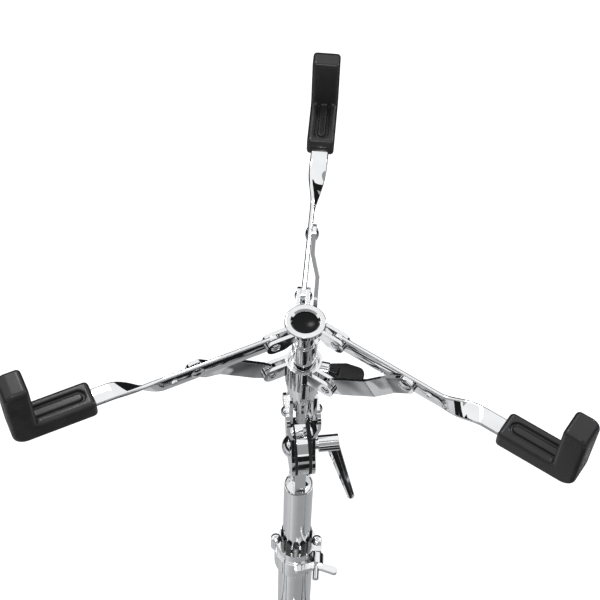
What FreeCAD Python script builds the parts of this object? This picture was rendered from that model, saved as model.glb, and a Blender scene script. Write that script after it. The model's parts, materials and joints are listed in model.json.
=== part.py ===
import FreeCAD, Part
import math
import os

V = FreeCAD.Vector

# Snare drum stand, in millimetres and degrees. Heights are above the floor and +Z is up.
# The post stands on the Z axis, and the pivot of the tilter runs along X.

# Clearances
PIN_FIT = 0.05          # radial, between a pin and what turns on it
SLIDE_FIT = 0.1         # radial, between a shaft and what slides or swivels on it
SIDE_GAP = 0.25         # between flat faces that slide past each other
OPEN_GAP = 0.3          # between curved faces that must not touch

# Tripod base
BASE_YAW = -9.0         # the tripod and the height clamp are turned by this about Z
LEG_COUNT = 3
TUBE_R = 14.3           # base tube, outside
TUBE_WALL = 1.6
TUBE_BOTTOM = 36.0
TUBE_TOP = 285.6
PLUG_FLANGE = 3.0
PLUG_DEPTH = 12.0
BRACKET_Z = 50.0        # height of the brace pivots
BRACKET_HEIGHT = 14.0
HUB_WALL = 4.2          # radial wall of the bracket and of the sliding collar
BASE_PIVOT_R = 26.0     # the leg and brace pivots stand this far from the axis
BRACE_LENGTH = 98.0     # pivot to pivot
LEG_SLOPE = 28.5        # below the horizontal, with the tripod open
LEG_TIP_Z = 8.5         # height of the end of a leg's centre line
STRAP = 2.5             # thickness of the steel straps of legs and braces
LEG_HEIGHT = 14.0
BRACE_HEIGHT = 12.0
BRACE_GAP = 10.0        # between the two straps of a brace
LEG_BRACE_GAP = 0.5     # between a brace strap and the leg strap beside it
COLLAR_HEIGHT = 20.0
BASE_PIN_R = 2.5
BASE_HEAD_R = 4.6
BASE_HEAD_RISE = 1.8
FOOT_LENGTH = 46.0
FOOT_NOSE = 6.0         # rubber beyond the end of the leg
FOOT_HEIGHT = 25.0
FOOT_SIDE = 3.2         # rubber beside each leg strap
FOOT_ROUND = 3.0
COLLAR_SCREW_R = 4.0
COLLAR_BOSS_R = 6.5
COLLAR_BOSS_REACH = 25.0
COLLAR_SCREW_REACH = 31.0
COLLAR_WING_SPAN = 32.0
COLLAR_WING_DEPTH = 11.0
WING_THICK = 4.5

# Height clamp
CLAMP_SLEEVE = 22.0     # the clamp casting holds this much of the base tube
CLAMP_WALL = 3.4
JAW_HEIGHT = 13.0
JAW_SPLIT = 0.8         # open joint between the fixed and the hinged half
LUG_X = 16.7            # the vertical lug barrels stand at plus and minus this
LUG_R = 4.0
CLAMP_PIN_R = 2.0
CLAMP_CAP_RISE = 3.0
CLAMP_DIMPLE_R = 1.1
SWING_BOLT_R = 2.5
SWING_BOLT_REACH = 31.0
JAW_EAR_DEPTH = 5.0
WING_NUT_R = 6.0
WING_NUT_HUB = 9.0
WING_NUT_SPAN = 34.0
WING_NUT_DEPTH = 8.5
BUSHING_DEPTH = 41.6    # the nylon bushing reaches this far down into the base tube
FINGER_RISE = 28.0      # the nylon fingers stand this far above the base tube
FINGER_COUNT = 12
FINGER_SLIT = 1.3
FINGER_SLIT_DEPTH = 16.0
FINGER_ROUND = 2.4

# Post and tilter
POST_R = 11.1
POST_WALL = 1.6
POST_BOTTOM = 160.0
POST_TOP = 394.8
POST_BEVEL = 0.8
HEAD_PLUG_DEPTH = 38.0
HEAD_PLUG_DROP = 6.0    # top of the plug below the rim of the post
PIVOT_RISE = 57.2       # tilter pivot above the rim of the post
TONGUE_THICK = 8.0
TONGUE_R = 20.6
NECK_DEPTH = 15.0
PIVOT_BOLT_R = 4.0
GASKET_THICK = 1.9
TONGUE_GAP = 0.1        # between the tongue and each gasket
CHEEK_THICK = 2.5
CHEEK_R = 21.2          # of the discs of the cheeks and gaskets
CHEEK_TOP_RISE = 58.0   # top of the cheek plates above the pivot
CHEEK_HALF = 13.5       # half width of the upper strap of a cheek
CHEEK_FLARE_LOW = 31.0  # the joggle of a cheek starts and ends this far above the pivot
CHEEK_FLARE_HIGH = 43.0
CHEEK_SCREW_RISE = 49.0
CHEEK_SCREW_R = 2.2
CHEEK_SCREW_HEAD_R = 3.9
CHEEK_SCREW_HEAD_RISE = 2.6
CHEEK_HOLE_RISE = 34.0
CHEEK_HOLE_R = 1.6
PIVOT_HEAD_R = 8.2
PIVOT_HEAD_RISE = 4.8

# Clamping lever of the tilter
STUD_R = 3.0
INSERT_R = 3.8
INSERT_REACH = 12.0     # from the cheek to the end of the threaded insert
INSERT_COLLAR = 4.2     # the stretch of the insert that shows beside the cheek
INSERT_SOLID = 4.2      # solid end of the insert beyond the hole for the stud
STUD_ROOM = 1.5         # between the end of the stud and the bottom of its hole
LEVER_HUB_R = 6.1
LEVER_WEB = 1.5
LEVER_SCREW_R = 1.5
LEVER_SCREW_HEAD_R = 2.9
LEVER_SCREW_HEAD = 1.7
LEVER_SCREW_GRIP = 3.0  # thread of the lever screw in the insert
LEVER_RECESS_R = 3.4
LEVER_PULL = 3.0        # the lever pulls out this far to turn free of its insert
LEVER_DROP = 64.0       # tip of the lever below its hub
LEVER_SPREAD = 15.5     # tip of the lever outward of its hub
LEVER_SWING = 10.6      # the lever hangs this much forward of straight down
LEVER_ROOT = 9.6
LEVER_TIP = 5.4
LEVER_CORNER = 0.28     # share of a lever section taken by its corner chamfers

# Yoke, swivel and basket height adjuster
YOKE_FLOOR_RISE = 70.0  # underside of the yoke's floor above the pivot
YOKE_FLOOR = 3.0
YOKE_LEG_DROP = 26.0    # the yoke's legs hang this far below its floor
YOKE_LEG_DEPTH = 13.0
YOKE_LEG_THICK = 2.5
YOKE_SLOT = 6.0         # window in the front of the yoke
YOKE_CONE_RISE = 20.0
YOKE_R = 12.0
NUT_R = 6.4
NUT_HEIGHT = 15.4
NUT_LEG_GAP = 0.5
RING_RISE = 100.5       # underside of the lower basket ring above the pivot
RING_HEIGHT = 11.5
RING_R = 12.0
RING_WALL = 1.75
SPIGOT_RISE = 6.0       # the yoke's spigot stands this far up inside the lower ring
SLEEVE_RISE = 33.0      # top of the guide sleeve above the underside of the lower ring
SLEEVE_WALL = 1.3
SLEEVE_R = 8.1
ROD_R = 4.0
ROD_BOTTOM_RISE = 36.0  # lower end of the threaded rod above the pivot
NECK_LENGTH = 58.8      # sliding neck of the upper hub below its collar
SWIVEL_TURN = 22.0      # the swivel screw stands this far to the left of the third arm
SCREW_BOSS_R = 4.6
SCREW_BOSS_REACH = 17.0
SWIVEL_SCREW_R = 2.5
PADDLE_LENGTH = 23.0
PADDLE_WIDTH = 12.5
PADDLE_THICK = 4.6
PADDLE_ROOT = 8.0
PADDLE_TURN = 25.0
PADDLE_GRIP = 6.0       # how far the paddle is moulded over its screw

# Basket
ARM_COUNT = 3
ARM_AZIMUTH = 78.4      # direction of the first basket arm
ARM_SIDE = 3.0          # the arms stand this far to the left of the radius, looking outward
GRIP_SIDE = 1.5         # the same for the flat ends of the arms and the grips
LINK_SIDE = -4.3        # the same for the lower ends of the links, to the right
ARM_PIVOT_R = 23.5
ARM_PIVOT_RISE = 49.5   # arm pivots above the underside of the lower ring
LINK_PIVOT_R = 22.5
JOINT_R = 74.5          # rivet between arm and link
LEDGE_RISE = 18.0       # drum ledge above the arm pivots
LIP_R = 176.0           # inner face of the lips, drawn up close to a 14 inch drum
ARM_HEIGHT = 12.0
ARM_THICK = 3.0
ARM_HOLE_R = 1.9
ARM_HOLE_STEP = 15.5    # spare hole of an arm beyond its rivet
TWIST_LEAD = 6.0        # start of the twist beyond the spare hole
TWIST_LAST = 10.0       # end of the twist before the grip
TWIST_STEPS = 8
ARM_FLAT_DROP = 7.2     # centre of the flat end of an arm below the ledge
EAR_THICK = 2.5
EAR_ROUND = 6.0
BASKET_PIN_R = 2.0
BASKET_HEAD_R = 3.2
BASKET_HEAD_RISE = 1.5
LINK_WIDTH = 13.0
LINK_THICK = 2.5
LINK_JOGGLE_START = 40.0
LINK_JOGGLE_END = 55.0
LINK_END_ROUND = 5.0
JOINT_RIVET_R = 2.0
JOINT_HEAD_R = 4.4
JOINT_PLAY = 1.4        # the rivet hole of a link is this much wider in radius
HUB_RING_R = 13.1
HUB_RING_HEIGHT = 4.0
HUB_BORE_R = 8.3
HUB_BEVEL = 1.2
HUB_RING_ROUND = 0.8
HUB_PLUG_HEIGHT = 1.8
HUB_RING_RISE = 5.8     # top of the upper ring above the arm pivots
EAR_ROOT_DROP = 1.5     # lower root of the upper ears below the arm pivots

# Rubber grips
GRIP_INNER_R = 140.0
GRIP_HALF = 9.3
GRIP_DEPTH = 13.5
LIP_THICK = 15.8
LIP_RISE = 36.5
GRIP_SIDE_ROUND = 2.4
GRIP_INNER_ROUND = 3.0
LIP_TOP_ROUND = 6.5
LIP_EDGE_ROUND = 2.8
GRIP_HEEL_ROUND = 8.5
GRIP_FILLET = 2.0
GROOVE_INSET = 4.0      # start of the groove beyond the inner end of a grip
GROOVE_HALF = 4.8
GROOVE_DEPTH = 2.2
GROOVE_RIB_HALF = 2.4
GROOVE_RIB_RISE = 1.7
ARM_IN_LIP = 5.0        # the steel reaches this far under the lip

# Heights that follow from the sizes above
SLOPE = math.radians(LEG_SLOPE)
COLLAR_Z = BRACKET_Z + 2 * BRACE_LENGTH * math.sin(SLOPE)
LEG_LENGTH = (COLLAR_Z - LEG_TIP_Z) / math.sin(SLOPE)
BRACE_IN = BRACE_GAP / 2
BRACE_OUT = BRACE_IN + STRAP
LEG_IN = BRACE_OUT + LEG_BRACE_GAP
LEG_OUT = LEG_IN + STRAP
CLAMP_BOTTOM = TUBE_TOP - CLAMP_SLEEVE
CLAMP_TOP = TUBE_TOP + JAW_HEIGHT
CLAMP_MID = TUBE_TOP + JAW_HEIGHT / 2
KNUCKLE_HEIGHT = JAW_HEIGHT / 2 - SWING_BOLT_R - 2 * OPEN_GAP
TUBE_BORE = TUBE_R - TUBE_WALL
BUSHING_R = POST_R + SLIDE_FIT
BUSHING_FOOT = TUBE_TOP - BUSHING_DEPTH
JAW_R = TUBE_BORE + CLAMP_WALL
PIVOT_Z = POST_TOP + PIVOT_RISE
GASKET_IN = TONGUE_THICK / 2 + TONGUE_GAP
CHEEK_IN = GASKET_IN + GASKET_THICK
CHEEK_OUT = CHEEK_IN + CHEEK_THICK
YOKE_LEG_IN = NUT_R + NUT_LEG_GAP
YOKE_LEG_OUT = YOKE_LEG_IN + YOKE_LEG_THICK
YOKE_FLOOR_Z = PIVOT_Z + YOKE_FLOOR_RISE
RING_Z = PIVOT_Z + RING_RISE
RING_BORE = RING_R - RING_WALL
SPIGOT_R = RING_BORE - SLIDE_FIT
SLEEVE_BORE = SLEEVE_R - SLEEVE_WALL
NECK_R = SLEEVE_BORE - SLIDE_FIT
ARM_PIVOT_Z = RING_Z + ARM_PIVOT_RISE
LINK_PIVOT_Z = RING_Z + RING_HEIGHT / 2
HUB_TOP = ARM_PIVOT_Z + HUB_RING_RISE
HUB_COLLAR_Z = HUB_TOP - HUB_RING_HEIGHT
NECK_BOTTOM = HUB_COLLAR_Z - NECK_LENGTH
LEDGE_Z = ARM_PIVOT_Z + LEDGE_RISE
ARM_FLAT_Z = LEDGE_Z - ARM_FLAT_DROP
ARM_END_R = LIP_R + ARM_IN_LIP
ARM_HOLE_AT = JOINT_R + ARM_HOLE_STEP
TWIST_START = ARM_HOLE_AT + TWIST_LEAD
TWIST_END = GRIP_INNER_R - TWIST_LAST
GROOVE_START = GRIP_INNER_R + GROOVE_INSET
LINK_IN = ARM_SIDE - ARM_THICK / 2 - SIDE_GAP
LINK_LENGTH = math.hypot(JOINT_R - LINK_PIVOT_R, ARM_PIVOT_Z - LINK_PIVOT_Z)
LINK_ANGLE = math.degrees(math.asin((ARM_PIVOT_Z - LINK_PIVOT_Z) / LINK_LENGTH))
INSERT_START = CHEEK_OUT + SIDE_GAP
LEVER_START = INSERT_START + INSERT_COLLAR
INSERT_END = INSERT_START + INSERT_REACH
STUD_HOLE_END = INSERT_END - INSERT_SOLID
LEVER_WEB_END = INSERT_END + SIDE_GAP + LEVER_WEB
LEVER_HEAD_START = LEVER_WEB_END + LEVER_PULL + SIDE_GAP
LEVER_HEAD_END = LEVER_HEAD_START + LEVER_SCREW_HEAD
LEVER_END = LEVER_HEAD_END + SIDE_GAP
SWIVEL_SCREW_Z = LINK_PIVOT_Z
SWIVEL_AZIMUTH = ARM_AZIMUTH - 360.0 / ARM_COUNT + SWIVEL_TURN

PAST = 2.0              # how far a cutting shape runs past what it cuts
TINY = 1e-6


# Building blocks

def cylinder(radius, low, high, x=0.0, y=0.0):
    return Part.makeCylinder(radius, high - low, V(x, y, low))


def tube(outer, inner, low, high, x=0.0, y=0.0):
    return cylinder(outer, low, high, x, y).cut(cylinder(inner, low - PAST, high + PAST, x, y))


def bar_x(radius, start, end, z):
    return Part.makeCylinder(radius, end - start, V(start, 0, z), V(1, 0, 0))


def bar_y(radius, start, end, x=0.0, z=0.0):
    return Part.makeCylinder(radius, end - start, V(x, start, z), V(0, 1, 0))


def block(x0, x1, y0, y1, z0, z1):
    return Part.makeBox(x1 - x0, y1 - y0, z1 - z0, V(x0, y0, z0))


def join(first, *others):
    return first.fuse(list(others)).removeSplitter()


def side_view(p):
    return V(p.x, 0, p.y)


def plan_view(p):
    return V(p.x, p.y, 0)


def end_view(p):
    return V(0, p.x, p.y)


def rounded_corner(before, here, after, radius):
    """The start, middle and end of the arc that rounds one corner of an outline."""
    if radius <= 0:
        return here, None, here
    back = (before - here).normalize()
    on = (after - here).normalize()
    half = back.getAngle(on) / 2
    reach = radius / math.tan(half)
    centre = here + (back + on).normalize() * (radius / math.sin(half))
    middle = centre + (here - centre).normalize() * radius
    return here + back * reach, middle, here + on * reach


def outline(corners, view):
    """A face with straight sides and rounded corners, given as (across, up, radius)."""
    points = [V(u, v, 0) for u, v, _ in corners]
    count = len(points)
    arcs = []
    for i in range(count):
        arcs.append(rounded_corner(points[i - 1], points[i], points[(i + 1) % count], corners[i][2]))
    edges = []
    for i in range(count):
        start, middle, end = arcs[i]
        following = arcs[(i + 1) % count][0]
        if middle is not None:
            edges.append(Part.Arc(view(start), view(middle), view(end)).toShape())
        if end.distanceToPoint(following) > TINY:
            edges.append(Part.LineSegment(view(end), view(following)).toShape())
    return Part.Face(Part.Wire(edges))


def side_plate(corners, near, far):
    """A plate standing in the XZ plane, from y = near to y = far."""
    face = outline(corners, side_view)
    face.translate(V(0, near, 0))
    return face.extrude(V(0, far - near, 0))


def plan_plate(corners, low, high):
    """A plate lying flat, from z = low to z = high."""
    face = outline(corners, plan_view)
    face.translate(V(0, 0, low))
    return face.extrude(V(0, 0, high - low))


def end_plate(corners, left, right):
    """A plate standing in the YZ plane, from x = left to x = right."""
    face = outline(corners, end_view)
    face.translate(V(left, 0, 0))
    return face.extrude(V(right - left, 0, 0))


def strap(start, end, height, near, far):
    """A flat strap along X with round ends centred on start and end."""
    half = height / 2
    return side_plate([(start - half, -half, half), (end + half, -half, half),
                       (end + half, half, half), (start - half, half, half)], near, far)


def aimed(shape, origin, direction):
    """A shape drawn along +Z, moved so that it starts at origin and points along direction."""
    moved = shape.copy()
    turn = FreeCAD.Rotation(V(0, 0, 1), direction)
    moved.Placement = FreeCAD.Placement(origin, turn).multiply(moved.Placement)
    return moved


def dome(radius, rise):
    """A low domed head, drawn along +Z from its flat seat."""
    ball = (radius ** 2 + rise ** 2) / (2 * rise)
    half = math.asin(min(1.0, radius / ball)) / 2
    middle = V(ball * math.sin(half), 0, rise - ball + ball * math.cos(half))
    arc = Part.Arc(V(radius, 0, 0), middle, V(0, 0, rise)).toShape()
    floor = Part.LineSegment(V(0, 0, 0), V(radius, 0, 0)).toShape()
    axis = Part.LineSegment(V(0, 0, rise), V(0, 0, 0)).toShape()
    face = Part.Face(Part.Wire([floor, arc, axis]))
    return face.revolve(V(0, 0, 0), V(0, 0, 1), 360)


def rivet(shank, head, rise, near, far, x, z):
    """A pin along Y with a domed head outside near and another outside far."""
    left = aimed(dome(head, rise), V(x, near, z), V(0, -1, 0))
    right = aimed(dome(head, rise), V(x, far, z), V(0, 1, 0))
    return join(bar_y(shank, near, far, x, z), left, right)


def tipped(shape, down, x, z):
    """A shape drawn along +X from the origin, tipped down by an angle and moved to x, z."""
    moved = shape.copy()
    moved.rotate(V(0, 0, 0), V(0, 1, 0), down)
    moved.translate(V(x, 0, z))
    return moved


def turned(shape, azimuth):
    moved = shape.copy()
    moved.rotate(V(0, 0, 0), V(0, 0, 1), azimuth)
    return moved


def wing(span, depth, root, thick, start):
    """A pair of thumb wings across the Z axis, rising along Z from start."""
    half = span / 2
    tip = depth * 0.28
    return side_plate([(-root, start, 0), (root, start, 0), (half, start + depth * 0.3, tip),
                       (half, start + depth, tip), (root * 0.6, start + depth * 0.5, tip),
                       (-root * 0.6, start + depth * 0.5, tip), (-half, start + depth, tip),
                       (-half, start + depth * 0.3, tip)], -thick / 2, thick / 2)


# Tripod base

def base_tube():
    return tube(TUBE_R, TUBE_BORE, TUBE_BOTTOM, TUBE_TOP)


def base_plug():
    flange = cylinder(TUBE_R, TUBE_BOTTOM - PLUG_FLANGE, TUBE_BOTTOM)
    return join(flange, cylinder(TUBE_BORE, TUBE_BOTTOM, TUBE_BOTTOM + PLUG_DEPTH))


def pivot_lug(ring_r, half_height, half_width, z):
    """A solid lug from a ring out to a base pivot, drawn along +X."""
    end = BASE_PIVOT_R + half_height
    root = ring_r - HUB_WALL / 2
    return side_plate([(root, z - half_height, 0), (end, z - half_height, half_height),
                       (end, z + half_height, half_height), (root, z + half_height, 0)],
                      -half_width, half_width)


def base_hub(bore, z, height, lug_half_height, lug_half_width):
    """A ring on the base tube with a drilled lug for each leg."""
    outer = bore + HUB_WALL
    ring = tube(outer, bore, z - height / 2, z + height / 2)
    lug = pivot_lug(outer, lug_half_height, lug_half_width, z)
    lug = lug.cut(cylinder(bore, z - height, z + height))
    lugs = [turned(lug, 360.0 * i / LEG_COUNT) for i in range(LEG_COUNT)]
    hub = join(ring, *lugs)
    hole = bar_y(BASE_PIN_R, -lug_half_width - PAST, lug_half_width + PAST, BASE_PIVOT_R, z)
    return hub.cut([turned(hole, 360.0 * i / LEG_COUNT) for i in range(LEG_COUNT)])


def brace_bracket():
    half = min(BRACKET_HEIGHT, BRACE_HEIGHT) / 2
    return base_hub(TUBE_R, BRACKET_Z, BRACKET_HEIGHT, half, BRACE_IN - SIDE_GAP)


def leg_collar():
    bore = TUBE_R + OPEN_GAP
    hub = base_hub(bore, COLLAR_Z, COLLAR_HEIGHT, LEG_HEIGHT / 2, LEG_IN - SIDE_GAP)
    boss = Part.makeCylinder(COLLAR_BOSS_R, COLLAR_BOSS_REACH, V(0, 0, COLLAR_Z), V(1, 0, 0))
    boss = boss.cut(cylinder(bore, COLLAR_Z - COLLAR_HEIGHT, COLLAR_Z + COLLAR_HEIGHT))
    thread = Part.makeCylinder(COLLAR_SCREW_R + PIN_FIT, COLLAR_BOSS_REACH + PAST,
                               V(0, 0, COLLAR_Z), V(1, 0, 0))
    away = 180.0
    return join(hub, turned(boss, away)).cut(turned(thread, away))


def collar_screw():
    """Wing screw that locks the sliding collar, on the side away from the first leg."""
    start = TUBE_R + OPEN_GAP
    shank = cylinder(COLLAR_SCREW_R, start, COLLAR_SCREW_REACH)
    hub = cylinder(COLLAR_BOSS_R, COLLAR_BOSS_REACH + OPEN_GAP, COLLAR_SCREW_REACH + COLLAR_BOSS_R)
    wings = wing(COLLAR_WING_SPAN, COLLAR_WING_DEPTH, COLLAR_BOSS_R, WING_THICK, COLLAR_SCREW_REACH)
    return aimed(join(shank, hub, wings), V(0, 0, COLLAR_Z), V(-1, 0, 0))


def bracket_pins():
    out = BRACE_OUT + SIDE_GAP
    pin = rivet(BASE_PIN_R, BASE_HEAD_R, BASE_HEAD_RISE, -out, out, BASE_PIVOT_R, BRACKET_Z)
    return [turned(pin, 360.0 * i / LEG_COUNT) for i in range(LEG_COUNT)]


def collar_pins():
    out = LEG_OUT + SIDE_GAP
    pin = rivet(BASE_PIN_R, BASE_HEAD_R, BASE_HEAD_RISE, -out, out, BASE_PIVOT_R, COLLAR_Z)
    return [turned(pin, 360.0 * i / LEG_COUNT) for i in range(LEG_COUNT)]


def brace():
    """The two straps from the bracket up to the leg."""
    hole = bar_y(BASE_PIN_R + PIN_FIT, -BRACE_OUT - PAST, BRACE_OUT + PAST)
    holes = [hole, hole.translated(V(BRACE_LENGTH, 0, 0))]
    straps = []
    for near, far in ((-BRACE_OUT, -BRACE_IN), (BRACE_IN, BRACE_OUT)):
        straps.append(tipped(strap(0, BRACE_LENGTH, BRACE_HEIGHT, near, far).cut(holes),
                             -LEG_SLOPE, BASE_PIVOT_R, BRACKET_Z))
    return straps


def leg_drawn():
    """A leg along +X from its pivot: one strap bent round into a U at the foot."""
    half = LEG_HEIGHT / 2
    back = half + PAST
    outer = plan_plate([(-back, -LEG_OUT, 0), (LEG_LENGTH, -LEG_OUT, LEG_OUT),
                        (LEG_LENGTH, LEG_OUT, LEG_OUT), (-back, LEG_OUT, 0)], -half, half)
    end = LEG_LENGTH - STRAP
    inner = plan_plate([(-back - PAST, -LEG_IN, 0), (end, -LEG_IN, LEG_IN),
                        (end, LEG_IN, LEG_IN), (-back - PAST, LEG_IN, 0)], -half - PAST, half + PAST)
    end_shape = side_plate([(-half, -half, half), (LEG_LENGTH + PAST, -half, 0),
                            (LEG_LENGTH + PAST, half, 0), (-half, half, half)],
                           -LEG_OUT - PAST, LEG_OUT + PAST)
    straps = outer.cut(inner).common(end_shape)
    pivot = bar_y(BASE_PIN_R + PIN_FIT, -LEG_OUT - PAST, LEG_OUT + PAST)
    seat = bar_y(BASE_PIN_R, -LEG_OUT - PAST, LEG_OUT + PAST, BRACE_LENGTH)
    return straps.cut([pivot, seat])


def leg_rivet_drawn():
    return rivet(BASE_PIN_R, BASE_HEAD_R, BASE_HEAD_RISE, -LEG_OUT, LEG_OUT, BRACE_LENGTH, 0)


def foot_drawn():
    """A rubber foot pushed over the end of a leg, before its sole is cut to the floor."""
    half = FOOT_HEIGHT / 2
    side = LEG_OUT + FOOT_SIDE
    nose = LEG_LENGTH + FOOT_NOSE
    heel = nose - FOOT_LENGTH
    shell = plan_plate([(heel, -side, FOOT_ROUND), (nose, -side, side * 0.6),
                        (nose, side, side * 0.6), (heel, side, FOOT_ROUND)], -half, half)
    rims = [e for e in shell.Edges if abs(abs(e.CenterOfMass.z) - half) < TINY]
    return shell.makeFillet(FOOT_ROUND, rims)


def on_leg(shape):
    return tipped(shape, LEG_SLOPE, BASE_PIVOT_R, COLLAR_Z)


def foot(leg):
    shell = on_leg(foot_drawn())
    below = block(0, 4 * LEG_LENGTH, -LEG_LENGTH, LEG_LENGTH, -LEG_LENGTH, 0)
    return shell.cut(below).cut(leg)


# Height clamp

def tube_clamp():
    """Casting fixed on the base tube: a sleeve, the rear half of the split ring and its knuckles."""
    sleeve = tube(TUBE_R + CLAMP_WALL, TUBE_R, CLAMP_BOTTOM, TUBE_TOP)
    deck = tube(TUBE_R + CLAMP_WALL, TUBE_BORE, TUBE_TOP, TUBE_TOP + OPEN_GAP)
    half = tube(JAW_R, TUBE_BORE, TUBE_TOP, CLAMP_TOP)
    half = half.common(block(-4 * LUG_X, 4 * LUG_X, JAW_SPLIT / 2, 4 * LUG_X, TUBE_TOP, CLAMP_TOP))
    knuckles = []
    for x in (-LUG_X, LUG_X):
        knuckles.append(cylinder(LUG_R, TUBE_TOP, TUBE_TOP + KNUCKLE_HEIGHT, x))
        knuckles.append(cylinder(LUG_R, CLAMP_TOP - KNUCKLE_HEIGHT, CLAMP_TOP, x))
    body = join(sleeve, deck, half, *knuckles)
    rooms = [cylinder(LUG_R + OPEN_GAP, TUBE_TOP + KNUCKLE_HEIGHT, CLAMP_TOP - KNUCKLE_HEIGHT, x)
             for x in (-LUG_X, LUG_X)]
    holes = [cylinder(CLAMP_PIN_R, TUBE_TOP - PAST, CLAMP_TOP + PAST, x) for x in (-LUG_X, LUG_X)]
    bore = cylinder(TUBE_BORE, TUBE_TOP, CLAMP_TOP + PAST)
    seat = cylinder(TUBE_R, CLAMP_BOTTOM - PAST, TUBE_TOP)
    return body.cut(rooms + holes + [bore, seat])


def clamp_jaw():
    """The hinged front half of the split ring, with a forked ear and a spot face for the wing nut."""
    low = TUBE_TOP + 2 * OPEN_GAP
    wide = 4 * LUG_X
    half = tube(JAW_R, TUBE_BORE, low, CLAMP_TOP)
    half = half.common(block(-wide, wide, -wide, -JAW_SPLIT / 2, low, CLAMP_TOP))
    ear_back = -LUG_R - OPEN_GAP
    ear = block(TUBE_BORE * 0.75, LUG_X + LUG_R, ear_back - JAW_EAR_DEPTH, ear_back, low, CLAMP_TOP)
    rooms = [cylinder(LUG_R + OPEN_GAP, low - PAST, CLAMP_TOP + PAST, x) for x in (-LUG_X, LUG_X)]
    rooms.append(cylinder(TUBE_BORE, low - PAST, CLAMP_TOP + PAST))
    slot = block(LUG_X - SWING_BOLT_R - OPEN_GAP, LUG_X + LUG_R + PAST, ear_back - JAW_EAR_DEPTH - PAST,
                 ear_back + PAST, CLAMP_MID - SWING_BOLT_R - OPEN_GAP, CLAMP_MID + SWING_BOLT_R + OPEN_GAP)
    spot = bar_y(WING_NUT_R + 2 * OPEN_GAP, -wide, ear_back - JAW_EAR_DEPTH, LUG_X, CLAMP_MID)
    body = join(half, ear).cut(rooms + [slot, spot])
    reach = KNUCKLE_HEIGHT + OPEN_GAP
    knuckle = cylinder(LUG_R, TUBE_TOP + reach, CLAMP_TOP - reach, -LUG_X)
    arm = block(-LUG_X, -TUBE_BORE * 0.6, -LUG_R, -JAW_SPLIT / 2, TUBE_TOP + reach, CLAMP_TOP - reach)
    arm = arm.cut(cylinder(TUBE_BORE, low - PAST, CLAMP_TOP + PAST))
    pin = cylinder(CLAMP_PIN_R, low - PAST, CLAMP_TOP + PAST, -LUG_X)
    return join(body, knuckle, arm).cut(pin)


def clamp_pins():
    """The upright hinge pin and swing bolt pin, each with a dimpled cap."""
    pins = []
    for x in (-LUG_X, LUG_X):
        cap = join(cylinder(LUG_R, CLAMP_TOP, CLAMP_TOP + CLAMP_CAP_RISE * 0.6, x),
                   aimed(dome(LUG_R, CLAMP_CAP_RISE * 0.4),
                         V(x, 0, CLAMP_TOP + CLAMP_CAP_RISE * 0.6), V(0, 0, 1)))
        dimple = Part.makeSphere(CLAMP_DIMPLE_R, V(x, 0, CLAMP_TOP + CLAMP_CAP_RISE))
        pins.append(join(cylinder(CLAMP_PIN_R, TUBE_TOP + OPEN_GAP, CLAMP_TOP, x), cap).cut(dimple))
    return pins


def swing_bolt():
    """Eye bolt on the right pin, drawn forward through the ear of the jaw."""
    reach = KNUCKLE_HEIGHT + OPEN_GAP
    eye = cylinder(LUG_R, TUBE_TOP + reach, CLAMP_TOP - reach, LUG_X)
    shank = bar_y(SWING_BOLT_R, -SWING_BOLT_REACH, -LUG_R / 2, LUG_X, CLAMP_MID)
    hole = cylinder(CLAMP_PIN_R, TUBE_TOP, CLAMP_TOP, LUG_X)
    return join(eye, shank).cut(hole)


def wing_nut():
    """Wing nut that draws the jaw closed."""
    face = LUG_R + 2 * OPEN_GAP + JAW_EAR_DEPTH
    hub = cylinder(WING_NUT_R, face, face + WING_NUT_HUB)
    wings = wing(WING_NUT_SPAN, WING_NUT_DEPTH, WING_NUT_R, WING_THICK, face + WING_NUT_HUB - SIDE_GAP)
    thread = cylinder(SWING_BOLT_R + PIN_FIT, 0, 2 * SWING_BOLT_REACH)
    return aimed(join(hub, wings).cut(thread), V(LUG_X, 0, CLAMP_MID), V(0, -1, 0))


def nylon_bushing():
    """Nylon bushing round the post, with slit fingers that stand out of the clamp."""
    top = TUBE_TOP + FINGER_RISE
    body = tube(TUBE_BORE, BUSHING_R, BUSHING_FOOT, top)
    half = FINGER_SLIT / 2
    open_half = half + FINGER_ROUND
    slit = end_plate([(-half, top - FINGER_SLIT_DEPTH, 0), (half, top - FINGER_SLIT_DEPTH, 0),
                      (half, top - FINGER_ROUND, 0), (open_half, top + PAST, 0),
                      (-open_half, top + PAST, 0), (-half, top - FINGER_ROUND, 0)],
                     BUSHING_R - PAST, TUBE_BORE + PAST)
    return body.cut([turned(slit, 360.0 * (i + 0.5) / FINGER_COUNT) for i in range(FINGER_COUNT)])


# Post and tilter

def post_tube():
    body = tube(POST_R, POST_R - POST_WALL, POST_BOTTOM, POST_TOP)
    bevel = Part.makeCone(POST_R - POST_WALL, POST_R - POST_WALL + POST_BEVEL, POST_BEVEL,
                          V(0, 0, POST_TOP - POST_BEVEL))
    return body.cut(bevel)


def tilter_head():
    """Casting in the top of the post: a plug, a flat neck and the tongue of the tilter."""
    half = TONGUE_THICK / 2
    top = POST_TOP - HEAD_PLUG_DROP
    plug = cylinder(POST_R - POST_WALL, top - HEAD_PLUG_DEPTH, top)
    neck = block(-half, half, -NECK_DEPTH / 2, NECK_DEPTH / 2, top - PAST, PIVOT_Z)
    tongue = bar_x(TONGUE_R, -half, half, PIVOT_Z)
    hole = bar_x(PIVOT_BOLT_R + SLIDE_FIT, -half - PAST, half + PAST, PIVOT_Z)
    return join(plug, neck, tongue).cut(hole)


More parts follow.
